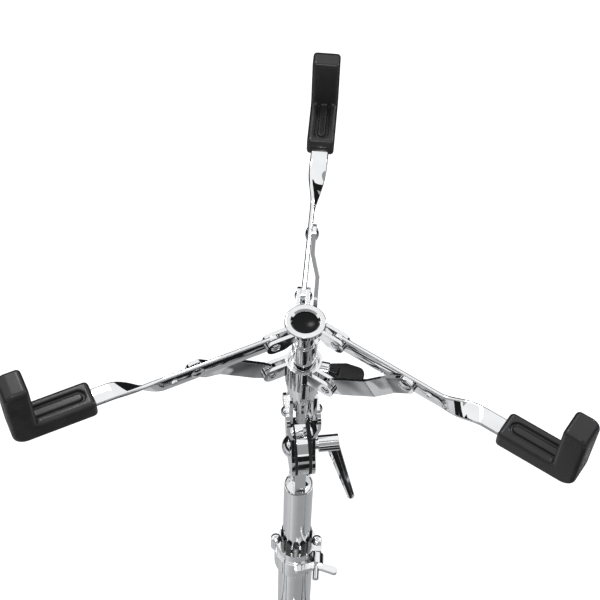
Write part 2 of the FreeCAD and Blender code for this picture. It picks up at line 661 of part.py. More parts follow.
def cheek_face_outline(top):
    """Outline of the strap of a cheek above its disc."""
    waist = PIVOT_Z + CHEEK_R * 0.55
    flank = CHEEK_R * 0.8
    shoulder = PIVOT_Z + CHEEK_R * 1.5
    corner = CHEEK_HALF * 0.6
    return [(-flank, waist, 0), (flank, waist, 0), (CHEEK_HALF, shoulder, corner),
            (CHEEK_HALF, top, corner), (-CHEEK_HALF, top, corner), (-CHEEK_HALF, shoulder, corner)]


def right_cheek():
    """A pressed cheek plate: a disc below, joggled outward to a strap on the yoke."""
    top = PIVOT_Z + CHEEK_TOP_RISE
    low = PIVOT_Z + CHEEK_FLARE_LOW
    high = PIVOT_Z + CHEEK_FLARE_HIGH
    bottom = PIVOT_Z - CHEEK_R - PAST
    bend = CHEEK_THICK * 1.6
    upper_in = YOKE_LEG_OUT
    sheet = side_plate([(CHEEK_IN, bottom, 0), (CHEEK_OUT, bottom, 0), (CHEEK_OUT, low, bend),
                        (upper_in + CHEEK_THICK, high, bend), (upper_in + CHEEK_THICK, top + PAST, 0),
                        (upper_in, top + PAST, 0), (upper_in, high, bend), (CHEEK_IN, low, bend)],
                       -CHEEK_R - PAST, CHEEK_R + PAST)
    reach = upper_in + CHEEK_THICK + PAST
    shape = join(bar_x(CHEEK_R, 0, reach, PIVOT_Z), end_plate(cheek_face_outline(top), 0, reach))
    holes = [bar_x(PIVOT_BOLT_R, 0, reach, PIVOT_Z),
             bar_x(CHEEK_SCREW_R, 0, reach, PIVOT_Z + CHEEK_SCREW_RISE),
             bar_x(CHEEK_HOLE_R, 0, reach, PIVOT_Z + CHEEK_HOLE_RISE)]
    return sheet.common(shape).cut(holes)


def right_gasket():
    """Friction gasket between the tongue and a cheek."""
    disc = bar_x(CHEEK_R, GASKET_IN, CHEEK_IN, PIVOT_Z)
    return disc.cut(bar_x(PIVOT_BOLT_R, 0, CHEEK_OUT, PIVOT_Z))


def other_side(shape):
    return shape.mirror(V(0, 0, 0), V(1, 0, 0))


def right_cheek_screw():
    start = YOKE_LEG_OUT + CHEEK_THICK
    z = PIVOT_Z + CHEEK_SCREW_RISE
    head = aimed(dome(CHEEK_SCREW_HEAD_R, CHEEK_SCREW_HEAD_RISE), V(start, 0, z), V(1, 0, 0))
    return join(bar_x(CHEEK_SCREW_R, YOKE_LEG_IN, start, z), head)


def pivot_bolt():
    """Bolt through the tilter, with a domed head on the left and a stud for the lever."""
    shank = bar_x(PIVOT_BOLT_R, -CHEEK_OUT, CHEEK_OUT, PIVOT_Z)
    stud = bar_x(STUD_R, CHEEK_OUT, STUD_HOLE_END - STUD_ROOM, PIVOT_Z)
    head = aimed(dome(PIVOT_HEAD_R, PIVOT_HEAD_RISE), V(-CHEEK_OUT, 0, PIVOT_Z), V(-1, 0, 0))
    return join(shank, stud, head)


def clamp_insert():
    """Threaded insert that the lever turns on the stud of the pivot bolt."""
    body = bar_x(INSERT_R, INSERT_START, INSERT_END, PIVOT_Z)
    thread = bar_x(STUD_R + PIN_FIT, INSERT_START - PAST, STUD_HOLE_END, PIVOT_Z)
    tapped = bar_x(LEVER_SCREW_R, INSERT_END - LEVER_SCREW_GRIP, INSERT_END + PAST, PIVOT_Z)
    return body.cut([thread, tapped])


def lever_screw():
    """Screw that keeps the pull-out lever on its insert."""
    floor = LEVER_HEAD_END - LEVER_SCREW_HEAD * 0.6
    head = bar_x(LEVER_SCREW_HEAD_R, LEVER_HEAD_START, LEVER_HEAD_END, PIVOT_Z)
    socket = bar_x(LEVER_SCREW_R * 0.9, floor, LEVER_HEAD_END + PAST, PIVOT_Z)
    shank = bar_x(LEVER_SCREW_R, INSERT_END - LEVER_SCREW_GRIP, LEVER_HEAD_START, PIVOT_Z)
    return join(shank, head.cut(socket))


def lever_section(width, x, z, lean):
    """A rectangle with chamfered corners across the lever's arm."""
    half = width / 2
    cut = width * LEVER_CORNER
    across = [(-half, -half + cut), (-half + cut, -half), (half - cut, -half), (half, -half + cut),
              (half, half - cut), (half - cut, half), (-half + cut, half), (-half, half - cut)]
    points = []
    for u, v in across:
        points.append(V(x + u * math.cos(lean), v, z + u * math.sin(lean)))
    return Part.makePolygon(points + points[:1])


def clamp_lever():
    """The lever: a hub over the insert and a tapered arm."""
    hub = bar_x(LEVER_HUB_R, LEVER_START, LEVER_END, 0)
    root_x = LEVER_END - LEVER_ROOT / 2
    lean = math.atan2(LEVER_SPREAD, LEVER_DROP)
    root = lever_section(LEVER_ROOT, root_x, 0, lean)
    tip = lever_section(LEVER_TIP, root_x + LEVER_SPREAD, -LEVER_DROP, lean)
    arm = Part.makeLoft([root, tip], True, True)
    bore = bar_x(INSERT_R + SLIDE_FIT, LEVER_START - PAST, INSERT_END + SIDE_GAP, 0)
    hole = bar_x(LEVER_SCREW_R + SLIDE_FIT, LEVER_START, LEVER_END + LEVER_ROOT, 0)
    recess = bar_x(LEVER_RECESS_R, LEVER_WEB_END, LEVER_END + LEVER_ROOT, 0)
    lever = join(hub, arm).cut([bore, hole, recess])
    lever.rotate(V(0, 0, 0), V(1, 0, 0), -LEVER_SWING)
    lever.translate(V(0, 0, PIVOT_Z))
    return lever


# Yoke, swivel and basket height adjuster

def yoke():
    """Casting between the cheeks: two legs, a floor, and the spigot that the basket swivels on."""
    shoulder_z = RING_Z - OPEN_GAP
    cone_top = YOKE_FLOOR_Z + YOKE_CONE_RISE
    half = YOKE_LEG_DEPTH / 2
    spigot = cylinder(SPIGOT_R, shoulder_z - PAST, RING_Z + SPIGOT_RISE)
    shoulder = cylinder(YOKE_R, cone_top, shoulder_z)
    cone = Part.makeCone(YOKE_LEG_OUT, YOKE_R, YOKE_CONE_RISE, V(0, 0, YOKE_FLOOR_Z))
    legs = []
    for x in (-YOKE_LEG_OUT, YOKE_LEG_IN):
        legs.append(block(x, x + YOKE_LEG_THICK, -half, half, YOKE_FLOOR_Z - YOKE_LEG_DROP, YOKE_FLOOR_Z))
    deck = block(-YOKE_LEG_OUT, YOKE_LEG_OUT, -half, half, YOKE_FLOOR_Z, YOKE_FLOOR_Z + YOKE_FLOOR)
    body = join(spigot, shoulder, cone, deck, *legs)
    bore = cylinder(SLEEVE_R, YOKE_FLOOR_Z + YOKE_FLOOR, RING_Z + SPIGOT_RISE + PAST)
    rod_hole = cylinder(ROD_R + OPEN_GAP, YOKE_FLOOR_Z - PAST, YOKE_FLOOR_Z + YOKE_FLOOR + PAST)
    window = side_plate([(-YOKE_SLOT / 2, YOKE_FLOOR_Z + YOKE_FLOOR, YOKE_SLOT * 0.45),
                         (YOKE_SLOT / 2, YOKE_FLOOR_Z + YOKE_FLOOR, YOKE_SLOT * 0.45),
                         (YOKE_SLOT / 4, shoulder_z - PAST, YOKE_SLOT * 0.2),
                         (-YOKE_SLOT / 4, shoulder_z - PAST, YOKE_SLOT * 0.2)], -YOKE_R - PAST, 0)
    screws = [bar_x(CHEEK_SCREW_R, -YOKE_LEG_OUT - PAST, YOKE_LEG_OUT + PAST, PIVOT_Z + CHEEK_SCREW_RISE)]
    return body.cut([bore, rod_hole, window] + screws)


def guide_sleeve():
    """Tube pressed in the yoke, in which the neck of the upper hub slides and turns."""
    return tube(SLEEVE_R, SLEEVE_BORE, YOKE_FLOOR_Z + YOKE_FLOOR, RING_Z + SLEEVE_RISE)


def adjuster_nut():
    """Round nut under the yoke's floor that raises and lowers the threaded rod."""
    top = YOKE_FLOOR_Z - OPEN_GAP
    body = cylinder(NUT_R, top - NUT_HEIGHT, top)
    return body.cut(cylinder(ROD_R + PIN_FIT, top - NUT_HEIGHT - PAST, top + PAST))


def ear_pair(corners, side, thick):
    """Two ears drawn along +X, with room between them for the strip that they hold at y = side."""
    inner = thick / 2 + SIDE_GAP
    return [side_plate(corners, side - inner - EAR_THICK, side - inner),
            side_plate(corners, side + inner, side + inner + EAR_THICK)]


def ear_pin(side, thick, x, z):
    """A riveted pin through a pair of ears."""
    out = thick / 2 + SIDE_GAP + EAR_THICK
    return rivet(BASKET_PIN_R, BASKET_HEAD_R, BASKET_HEAD_RISE, side - out, side + out, x, z)


def ear_hole(side, x, z):
    return bar_y(BASKET_PIN_R, side - ARM_HEIGHT, side + ARM_HEIGHT, x, z)


def around(shapes, start, count):
    """Copies of some shapes drawn along +X, at equal steps round the Z axis."""
    copies = []
    for i in range(count):
        copies.extend(turned(shape, start + 360.0 * i / count) for shape in shapes)
    return copies


def lower_hub():
    """Basket ring on the yoke's spigot, with three forked ears and the boss of the swivel screw."""
    ring = tube(RING_R, RING_BORE, RING_Z, RING_Z + RING_HEIGHT)
    root = RING_BORE * 0.7
    end = LINK_PIVOT_R + RING_HEIGHT / 2
    top = RING_Z + RING_HEIGHT
    nose = RING_HEIGHT / 2 * 0.98
    ears = ear_pair([(root, RING_Z, 0), (end, RING_Z, nose), (end, top, nose), (root, top, 0)],
                    LINK_SIDE, LINK_THICK)
    boss = Part.makeCylinder(SCREW_BOSS_R, SCREW_BOSS_REACH, V(0, 0, SWIVEL_SCREW_Z), V(1, 0, 0))
    thread = Part.makeCylinder(SWIVEL_SCREW_R + PIN_FIT, SCREW_BOSS_REACH + PAST,
                               V(0, 0, SWIVEL_SCREW_Z), V(1, 0, 0))
    bore = cylinder(RING_BORE, RING_Z - RING_HEIGHT, RING_Z + 2 * RING_HEIGHT)
    body = join(ring, turned(boss, SWIVEL_AZIMUTH), *around(ears, ARM_AZIMUTH, ARM_COUNT))
    pin = ear_hole(LINK_SIDE, LINK_PIVOT_R, LINK_PIVOT_Z)
    return body.cut([bore, turned(thread, SWIVEL_AZIMUTH)] + around([pin], ARM_AZIMUTH, ARM_COUNT))


def lower_hub_pins():
    return around([ear_pin(LINK_SIDE, LINK_THICK, LINK_PIVOT_R, LINK_PIVOT_Z)], ARM_AZIMUTH, ARM_COUNT)


def on_swivel_screw(shape):
    """A shape drawn along +X on the swivel screw's axis, moved to its place on the lower hub."""
    moved = shape.copy()
    moved.rotate(V(0, 0, 0), V(1, 0, 0), PADDLE_TURN)
    moved.translate(V(0, 0, SWIVEL_SCREW_Z))
    return turned(moved, SWIVEL_AZIMUTH)


def swivel_screw():
    return on_swivel_screw(bar_x(SWIVEL_SCREW_R, SPIGOT_R + OPEN_GAP,
                                 SCREW_BOSS_REACH + OPEN_GAP + PADDLE_GRIP, 0))


def swivel_paddle():
    """Spade-shaped thumb paddle moulded over the swivel screw."""
    start = SCREW_BOSS_REACH + OPEN_GAP
    end = start + PADDLE_LENGTH
    root = PADDLE_ROOT / 2
    half = PADDLE_WIDTH / 2
    plate = plan_plate([(start, -root, 1.0), (start + PADDLE_LENGTH * 0.45, -half, half * 0.8),
                        (end, -half * 0.75, half * 0.7), (end, half * 0.75, half * 0.7),
                        (start + PADDLE_LENGTH * 0.45, half, half * 0.8), (start, root, 1.0)],
                       -PADDLE_THICK / 2, PADDLE_THICK / 2)
    socket = bar_x(PADDLE_ROOT / 2, start, start + PADDLE_GRIP + SIDE_GAP, 0)
    hole = bar_x(SWIVEL_SCREW_R, start - PAST, start + PADDLE_GRIP, 0)
    return on_swivel_screw(join(plate, socket).cut(hole))


def upper_hub():
    """Top of the basket: a ring, three forked ears and the neck that slides in the sleeve."""
    ring = cylinder(HUB_RING_R, HUB_COLLAR_Z, HUB_TOP)
    rims = [e for e in ring.Edges if e.Curve.TypeId == "Part::GeomCircle"]
    ring = ring.makeFillet(HUB_RING_ROUND, rims)
    neck = cylinder(NECK_R, NECK_BOTTOM, HUB_COLLAR_Z)
    root = NECK_R * 0.5
    ear_top = min(ARM_PIVOT_Z + EAR_ROUND, HUB_TOP - HUB_RING_ROUND)
    ear_low = ARM_PIVOT_Z - EAR_ROUND
    ear_root = ARM_PIVOT_Z - EAR_ROOT_DROP
    end = ARM_PIVOT_R + EAR_ROUND
    nose = EAR_ROUND * 0.9
    ears = ear_pair([(root, ear_root, 0), (SLEEVE_R + PAST, ear_root, 0),
                     (ARM_PIVOT_R - EAR_ROUND, ear_low, EAR_ROUND), (end, ear_low, nose),
                     (end, ear_top, nose), (root, ear_top, 0)], ARM_SIDE, ARM_THICK)
    body = join(ring, neck, *around(ears, ARM_AZIMUTH, ARM_COUNT))
    bore = cylinder(HUB_BORE_R, HUB_COLLAR_Z, HUB_TOP + PAST)
    bevel = Part.makeCone(HUB_BORE_R, HUB_BORE_R + HUB_BEVEL + PAST, HUB_BEVEL + PAST,
                          V(0, 0, HUB_TOP - HUB_BEVEL))
    rod_hole = cylinder(ROD_R, NECK_BOTTOM - PAST, HUB_COLLAR_Z)
    pin = ear_hole(ARM_SIDE, ARM_PIVOT_R, ARM_PIVOT_Z)
    return body.cut([bore, bevel, rod_hole] + around([pin], ARM_AZIMUTH, ARM_COUNT))


def hub_plug():
    """Black plug that closes the bore of the upper hub."""
    return cylinder(HUB_BORE_R, HUB_COLLAR_Z, HUB_COLLAR_Z + HUB_PLUG_HEIGHT)


def basket_rod():
    """Threaded rod fixed in the neck of the upper hub, down through the adjuster nut."""
    return cylinder(ROD_R, PIVOT_Z + ROD_BOTTOM_RISE, HUB_COLLAR_Z)


def upper_hub_pins():
    return around([ear_pin(ARM_SIDE, ARM_THICK, ARM_PIVOT_R, ARM_PIVOT_Z)], ARM_AZIMUTH, ARM_COUNT)


def smooth(share):
    return share * share * (3 - 2 * share)


def arm_section(share):
    """The arm's cross-section part of the way along its twist, standing at 0 and flat at 1."""
    eased = smooth(share)
    turn = -math.pi / 2 * eased
    x = TWIST_START + (TWIST_END - TWIST_START) * share
    y = ARM_SIDE + (GRIP_SIDE - ARM_SIDE) * eased
    z = ARM_PIVOT_Z + (ARM_FLAT_Z - ARM_PIVOT_Z) * eased
    points = []
    for u, v in ((-1, -1), (1, -1), (1, 1), (-1, 1)):
        across = u * ARM_THICK / 2
        up = v * ARM_HEIGHT / 2
        points.append(V(x, y + across * math.cos(turn) - up * math.sin(turn),
                        z + across * math.sin(turn) + up * math.cos(turn)))
    return Part.makePolygon(points + points[:1])


def arm_flat():
    half = ARM_HEIGHT / 2
    return block(TWIST_END, ARM_END_R, GRIP_SIDE - half, GRIP_SIDE + half,
                 ARM_FLAT_Z - ARM_THICK / 2, ARM_FLAT_Z + ARM_THICK / 2)


def arm():
    """A basket arm along +X: a strip on edge, twisted through a right angle to lie flat in its grip."""
    half = ARM_HEIGHT / 2
    inner = ARM_PIVOT_R - half
    right = ARM_SIDE - ARM_THICK / 2
    left = ARM_SIDE + ARM_THICK / 2
    upright = side_plate([(inner, ARM_PIVOT_Z - half, half), (TWIST_START, ARM_PIVOT_Z - half, 0),
                          (TWIST_START, ARM_PIVOT_Z + half, 0), (inner, ARM_PIVOT_Z + half, half)],
                         right, left)
    twist = Part.makeLoft([arm_section(i / TWIST_STEPS) for i in range(TWIST_STEPS + 1)], True, False)
    holes = [bar_y(BASKET_PIN_R + PIN_FIT, right - PAST, left + PAST, ARM_PIVOT_R, ARM_PIVOT_Z),
             bar_y(JOINT_RIVET_R, right - PAST, left + PAST, JOINT_R, ARM_PIVOT_Z),
             bar_y(ARM_HOLE_R, right - PAST, left + PAST, ARM_HOLE_AT, ARM_PIVOT_Z)]
    return upright.fuse([twist, arm_flat()]).cut(holes)


def joint_rivet():
    """Rivet fixed in an arm, whose far head keeps the link beside the arm."""
    near = LINK_IN - LINK_THICK - SIDE_GAP
    far = ARM_SIDE + ARM_THICK / 2
    return rivet(JOINT_RIVET_R, JOINT_HEAD_R, BASKET_HEAD_RISE, near, far, JOINT_R, ARM_PIVOT_Z)


def link():
    """A joggled link along +X, from between the ears of the lower hub to the side of an arm."""
    half = LINK_WIDTH / 2
    back = -half - PAST
    front = LINK_LENGTH + half + PAST
    left = LINK_SIDE + LINK_THICK / 2
    right = left - LINK_THICK
    bend = LINK_THICK * 1.4
    sheet = plan_plate([(back, left, 0), (LINK_JOGGLE_START, left, bend), (LINK_JOGGLE_END, LINK_IN, bend),
                        (front, LINK_IN, 0), (front, LINK_IN - LINK_THICK, 0),
                        (LINK_JOGGLE_END, LINK_IN - LINK_THICK, bend), (LINK_JOGGLE_START, right, bend),
                        (back, right, 0)], -half - PAST, half + PAST)
    tip = LINK_END_ROUND
    wide = LINK_WIDTH * 2
    shape = side_plate([(-tip, -tip, tip * 0.98), (tip * 2, -half, half),
                        (LINK_LENGTH + half, -half, half * 0.98), (LINK_LENGTH + half, half, half * 0.98),
                        (tip * 2, half, half), (-tip, tip, tip * 0.98)], -wide, wide)
    holes = [bar_y(BASKET_PIN_R + PIN_FIT, -wide, wide),
             bar_y(JOINT_RIVET_R + JOINT_PLAY, -wide, wide, LINK_LENGTH)]
    return tipped(sheet.common(shape).cut(holes), -LINK_ANGLE, LINK_PIVOT_R, LINK_PIVOT_Z)


def grip():
    """A rubber grip along +X: a grooved ledge under the drum's rim and a lip outside it."""
    low = LEDGE_Z - GRIP_DEPTH
    out = LIP_R + LIP_THICK
    top = LEDGE_Z + LIP_RISE
    body = side_plate([(GRIP_INNER_R, low, GRIP_INNER_ROUND), (out, low, GRIP_HEEL_ROUND),
                       (out, top, LIP_TOP_ROUND), (LIP_R, top, LIP_EDGE_ROUND),
                       (LIP_R, LEDGE_Z, GRIP_FILLET), (GRIP_INNER_R, LEDGE_Z, GRIP_INNER_ROUND)],
                      -GRIP_HALF, GRIP_HALF)
    rims = [e for e in body.Edges if abs(abs(e.CenterOfMass.y) - GRIP_HALF) < TINY]
    body = body.makeFillet(GRIP_SIDE_ROUND, rims)
    end = LIP_R + GROOVE_HALF
    groove = plan_plate([(GROOVE_START, -GROOVE_HALF, GROOVE_HALF), (end, -GROOVE_HALF, 0),
                         (end, GROOVE_HALF, 0), (GROOVE_START, GROOVE_HALF, GROOVE_HALF)],
                        LEDGE_Z - GROOVE_DEPTH, LEDGE_Z + GROOVE_HALF)
    rib_start = GROOVE_START + GROOVE_HALF - GROOVE_RIB_HALF
    rib = plan_plate([(rib_start, -GROOVE_RIB_HALF, GROOVE_RIB_HALF), (end, -GROOVE_RIB_HALF, 0),
                      (end, GROOVE_RIB_HALF, 0), (rib_start, GROOVE_RIB_HALF, GROOVE_RIB_HALF)],
                     LEDGE_Z - GROOVE_DEPTH, LEDGE_Z - GROOVE_DEPTH + GROOVE_RIB_RISE)
    groove = groove.cut(block(LIP_R, end, -GRIP_HALF, GRIP_HALF, low, top))
    return body.cut(groove.cut(rib)).translated(V(0, GRIP_SIDE, 0)).cut(arm_flat())


# The stand, node by node

def base_nodes():
    shapes = {
        "base_tube": base_tube(),
        "base_plug": base_plug(),
        "nylon_bushing": nylon_bushing(),
        "tube_clamp": tube_clamp(),
        "clamp_jaw": clamp_jaw(),
        "clamp_pins": Part.makeCompound(clamp_pins()),
        "swing_bolt": swing_bolt(),
        "clamp_wing_nut": wing_nut(),
    }
    first_leg = 90.0
    legs = {
        "brace_bracket": brace_bracket(),
        "bracket_pins": Part.makeCompound(bracket_pins()),
        "leg_collar": leg_collar(),
        "collar_pins": Part.makeCompound(collar_pins()),
        "collar_wing_screw": collar_screw(),
    }
    leg = on_leg(leg_drawn())
    for i in range(LEG_COUNT):
        turn = 360.0 * i / LEG_COUNT
        number = str(i + 1)
        legs["leg_" + number] = turned(leg, turn)
        legs["foot_" + number] = turned(foot(leg), turn)
        legs["leg_rivet_" + number] = turned(on_leg(leg_rivet_drawn()), turn)
        legs["brace_" + number] = turned(Part.makeCompound(brace()), turn)
    for name, shape in legs.items():
        shapes[name] = turned(shape, first_leg)
    return {name: turned(shape, BASE_YAW) for name, shape in shapes.items()}


def tilter_nodes():
    return {
        "post_tube": post_tube(),
        "tilter_head": tilter_head(),
        "right_cheek": right_cheek(),
        "left_cheek": other_side(right_cheek()),
        "right_gasket": right_gasket(),
        "left_gasket": other_side(right_gasket()),
        "cheek_screws": Part.makeCompound([right_cheek_screw(), other_side(right_cheek_screw())]),
        "pivot_bolt": pivot_bolt(),
        "clamp_insert": clamp_insert(),
        "lever_screw": lever_screw(),
        "clamp_lever": clamp_lever(),
        "yoke": yoke(),
        "guide_sleeve": guide_sleeve(),
        "adjuster_nut": adjuster_nut(),
    }


def basket_nodes():
    shapes = {
        "lower_hub": lower_hub(),
        "lower_hub_pins": Part.makeCompound(lower_hub_pins()),
        "swivel_screw": swivel_screw(),
        "swivel_paddle": swivel_paddle(),
        "upper_hub": upper_hub(),
        "hub_plug": hub_plug(),
        "basket_rod": basket_rod(),
        "upper_hub_pins": Part.makeCompound(upper_hub_pins()),
    }
    for i in range(ARM_COUNT):
        azimuth = ARM_AZIMUTH + 360.0 * i / ARM_COUNT
        number = str(i + 1)
        shapes["arm_" + number] = turned(arm(), azimuth)
        shapes["grip_" + number] = turned(grip(), azimuth)
        shapes["joint_rivet_" + number] = turned(joint_rivet(), azimuth)
        shapes["link_" + number] = turned(link(), azimuth)
    return shapes


def main():
    os.makedirs("parts", exist_ok=True)
    nodes = {}
    nodes.update(base_nodes())
    nodes.update(tilter_nodes())
    nodes.update(basket_nodes())
    for name, shape in nodes.items():
        shape.exportStep("parts/" + name + ".step")
        state = "valid" if shape.isValid() else "NOT VALID"
        print(name, len(shape.Solids), "solids", round(shape.Volume), "mm3", state)


main()
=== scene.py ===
# %% [markdown]
# # A snare drum stand
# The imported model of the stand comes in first, as a fixed frame in metres: every tube, strap and
# casting is already in its place and rides on a body that a joint moves. This script gives each piece
# its finish, and makes new pieces where a plain solid isn't enough, such as the twisted arms, the thread
# of the basket rod and the soft rubber.

# %% Load the frame
import json
import math

import bmesh
import bpy
from mathutils import Matrix, Vector


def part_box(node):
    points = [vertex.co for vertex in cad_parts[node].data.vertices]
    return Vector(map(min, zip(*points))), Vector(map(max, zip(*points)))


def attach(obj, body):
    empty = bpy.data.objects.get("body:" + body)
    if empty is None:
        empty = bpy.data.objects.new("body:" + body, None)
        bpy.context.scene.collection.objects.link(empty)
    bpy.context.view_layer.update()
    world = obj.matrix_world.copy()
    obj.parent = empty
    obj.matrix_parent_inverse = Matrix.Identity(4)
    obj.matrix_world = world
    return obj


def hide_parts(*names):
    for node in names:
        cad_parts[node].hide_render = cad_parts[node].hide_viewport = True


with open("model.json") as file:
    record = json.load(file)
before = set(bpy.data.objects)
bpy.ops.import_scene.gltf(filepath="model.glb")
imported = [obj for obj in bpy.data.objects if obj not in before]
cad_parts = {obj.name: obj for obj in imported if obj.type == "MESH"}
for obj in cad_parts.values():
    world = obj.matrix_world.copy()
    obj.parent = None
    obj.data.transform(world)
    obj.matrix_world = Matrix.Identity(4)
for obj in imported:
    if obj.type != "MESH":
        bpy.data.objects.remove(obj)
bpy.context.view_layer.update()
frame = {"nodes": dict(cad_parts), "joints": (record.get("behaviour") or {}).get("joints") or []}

scene = bpy.context.scene
nodes = frame["nodes"]
joints = {joint["name"]: joint for joint in frame["joints"]}
MM = 0.001

# %% [markdown]
# ## Where the arms and legs point
# Three basket arms and three legs are the same piece, turned about the post. A hinge axis is square to
# the arm that it carries, so the direction of each arm can be read from its joint. Every repeated piece
# below is drawn once along +X and then turned by these matrices.

# %% Directions of arms and legs
NUMBERS = ("1", "2", "3")


def turn_of(joint_name):
    """The turn about Z that brings a piece drawn along +X to the arm or leg of a hinge."""
    axis = joints[joint_name]["axis"]
    return Matrix.Rotation(math.atan2(axis[0], -axis[1]), 4, "Z")


arm_turn = {n: turn_of("arm_hinge_" + n) for n in NUMBERS}
leg_turn = {n: turn_of("brace_fold_" + n) for n in NUMBERS}


def drawn_along_x(node_name, turn):
    """The corners of a CAD node, turned back so that the node lies along +X."""
    back = turn.inverted()
    return [back @ v.co for v in nodes[node_name].data.vertices]


for n in NUMBERS:
    print("arm", n, round(math.degrees(arm_turn[n].to_euler().z), 1), "degrees")

# %% [markdown]
# ## Two shared shader effects
# Chrome that people touch carries a faint haze and hairline marks. Moulded rubber and nylon have a fine
# grain and patches that are a little duller. Each effect is one node group, so that several materials
# can share it with their own values. A group only puts out masks and heights: the shader itself stays
# in the material.

# %% Helpers for node trees


def place(tree, kind, inputs=None, **settings):
    """Adds a node, sets its options, and links or sets its inputs."""
    node = tree.nodes.new(kind)
    for name, value in settings.items():
        setattr(node, name, value)
    for key, value in (inputs or {}).items():
        if isinstance(value, bpy.types.NodeSocket):
            tree.links.new(value, node.inputs[key])
        else:
            node.inputs[key].default_value = value
    return node


def math_of(tree, operation, first, second=0.0):
    return place(tree, "ShaderNodeMath", {0: first, 1: second}, operation=operation).outputs[0]


def effect_group(name, inputs, outputs):
    """A new shader node group with float inputs and outputs, and its two ends."""
    tree = bpy.data.node_groups.new(name, "ShaderNodeTree")
    for label, value in inputs:
        socket = tree.interface.new_socket(name=label, in_out="INPUT", socket_type="NodeSocketFloat")
        socket.default_value = value
    for label in outputs:
        tree.interface.new_socket(name=label, in_out="OUTPUT", socket_type="NodeSocketFloat")
    return tree, tree.nodes.new("NodeGroupInput").outputs, tree.nodes.new("NodeGroupOutput").inputs


# %% Handling marks for plated metal
handling_marks, given, put = effect_group(
    "handling_marks", [("Haze scale", 40.0), ("Line scale", 900.0)], ["Haze", "Lines", "Waves"])
where = place(handling_marks, "ShaderNodeTexCoord").outputs["Object"]
haze = place(handling_marks, "ShaderNodeTexNoise",
             {"Vector": where, "Scale": given["Haze scale"], "Detail": 4.0, "Roughness": 0.6})
haze = place(handling_marks, "ShaderNodeMapRange",
             {"Value": haze.outputs["Fac"], "From Min": 0.42, "From Max": 0.72}, clamp=True)
stretched = place(handling_marks, "ShaderNodeMapping", {"Vector": where, "Scale": (1.0, 1.0, 0.08)})
lines = place(handling_marks, "ShaderNodeTexNoise",
              {"Vector": stretched.outputs[0], "Scale": given["Line scale"], "Detail": 2.0})
waves = place(handling_marks, "ShaderNodeTexNoise",
              {"Vector": where, "Scale": given["Haze scale"], "Detail": 1.0, "Roughness": 0.3})
handling_marks.links.new(haze.outputs[0], put["Haze"])
handling_marks.links.new(lines.outputs["Fac"], put["Lines"])
handling_marks.links.new(waves.outputs["Fac"], put["Waves"])
print("group", handling_marks.name, "made")

# %% Moulded grain for rubber and nylon
moulded_grain, given, put = effect_group(
    "moulded_grain", [("Grain scale", 2500.0), ("Patch scale", 60.0)], ["Grain", "Patches"])
where = place(moulded_grain, "ShaderNodeTexCoord").outputs["Object"]
grain = place(moulded_grain, "ShaderNodeTexNoise",
              {"Vector": where, "Scale": given["Grain scale"], "Detail": 3.0, "Roughness": 0.7})
patches = place(moulded_grain, "ShaderNodeTexNoise",
                {"Vector": where, "Scale": given["Patch scale"], "Detail": 5.0, "Roughness": 0.65})
patches = place(moulded_grain, "ShaderNodeMapRange",
                {"Value": patches.outputs["Fac"], "From Min": 0.35, "From Max": 0.75}, clamp=True)
moulded_grain.links.new(grain.outputs["Fac"], put["Grain"])
moulded_grain.links.new(patches.outputs[0], put["Patches"])
print("group", moulded_grain.name, "made")

# %% [markdown]
# ## Chrome
# Polished plate is nearly a mirror, so what it shows is the room. Its own colour is a cool light grey,
# and only its roughness and the faint waves of the metal below tell a drawn tube from a pressed strap or
# a casting. The Bevel node rounds the shading of the edges a little, because a real plated edge always
# catches a line of light.

# %% Recipe of a chrome finish
HAZE_COLOUR = (0.80, 0.81, 0.82, 1.0)
LINE_ROUGHNESS = 0.015
WAVE_DISTANCE = 2 * MM


def new_material(name):
    """A new material, its node tree and its shader."""
    made = bpy.data.materials.new(name)
    made.use_nodes = True
    return made, made.node_tree, made.node_tree.nodes["Principled BSDF"]


def mixed_colour(tree, amount, first, second):
    node = place(tree, "ShaderNodeMix", {0: amount, 6: first, 7: second}, data_type="RGBA")
    return node.outputs[2]


def chrome(name, colour, smooth, hazed, wave_scale, wave, edge):
    """Plated steel: smooth and hazed are the roughness at the clean and the handled places."""
    made, tree, shader = new_material(name)
    marks = place(tree, "ShaderNodeGroup", node_tree=handling_marks)
    marks.inputs["Haze scale"].default_value = wave_scale
    rough = place(tree, "ShaderNodeMapRange",
                  {"Value": marks.outputs["Haze"], "To Min": smooth, "To Max": hazed})
    fine = math_of(tree, "MULTIPLY", marks.outputs["Lines"], LINE_ROUGHNESS)
    rounded = place(tree, "ShaderNodeBevel", {"Radius": edge}, samples=4)
    bump = place(tree, "ShaderNodeBump", {"Height": marks.outputs["Waves"], "Strength": wave,
                                          "Distance": WAVE_DISTANCE, "Normal": rounded.outputs[0]})
    tint = mixed_colour(tree, marks.outputs["Haze"], colour, HAZE_COLOUR)
    tree.links.new(tint, shader.inputs["Base Color"])
    tree.links.new(math_of(tree, "ADD", rough.outputs[0], fine), shader.inputs["Roughness"])
    tree.links.new(bump.outputs[0], shader.inputs["Normal"])
    shader.inputs["Metallic"].default_value = 1.0
    return made


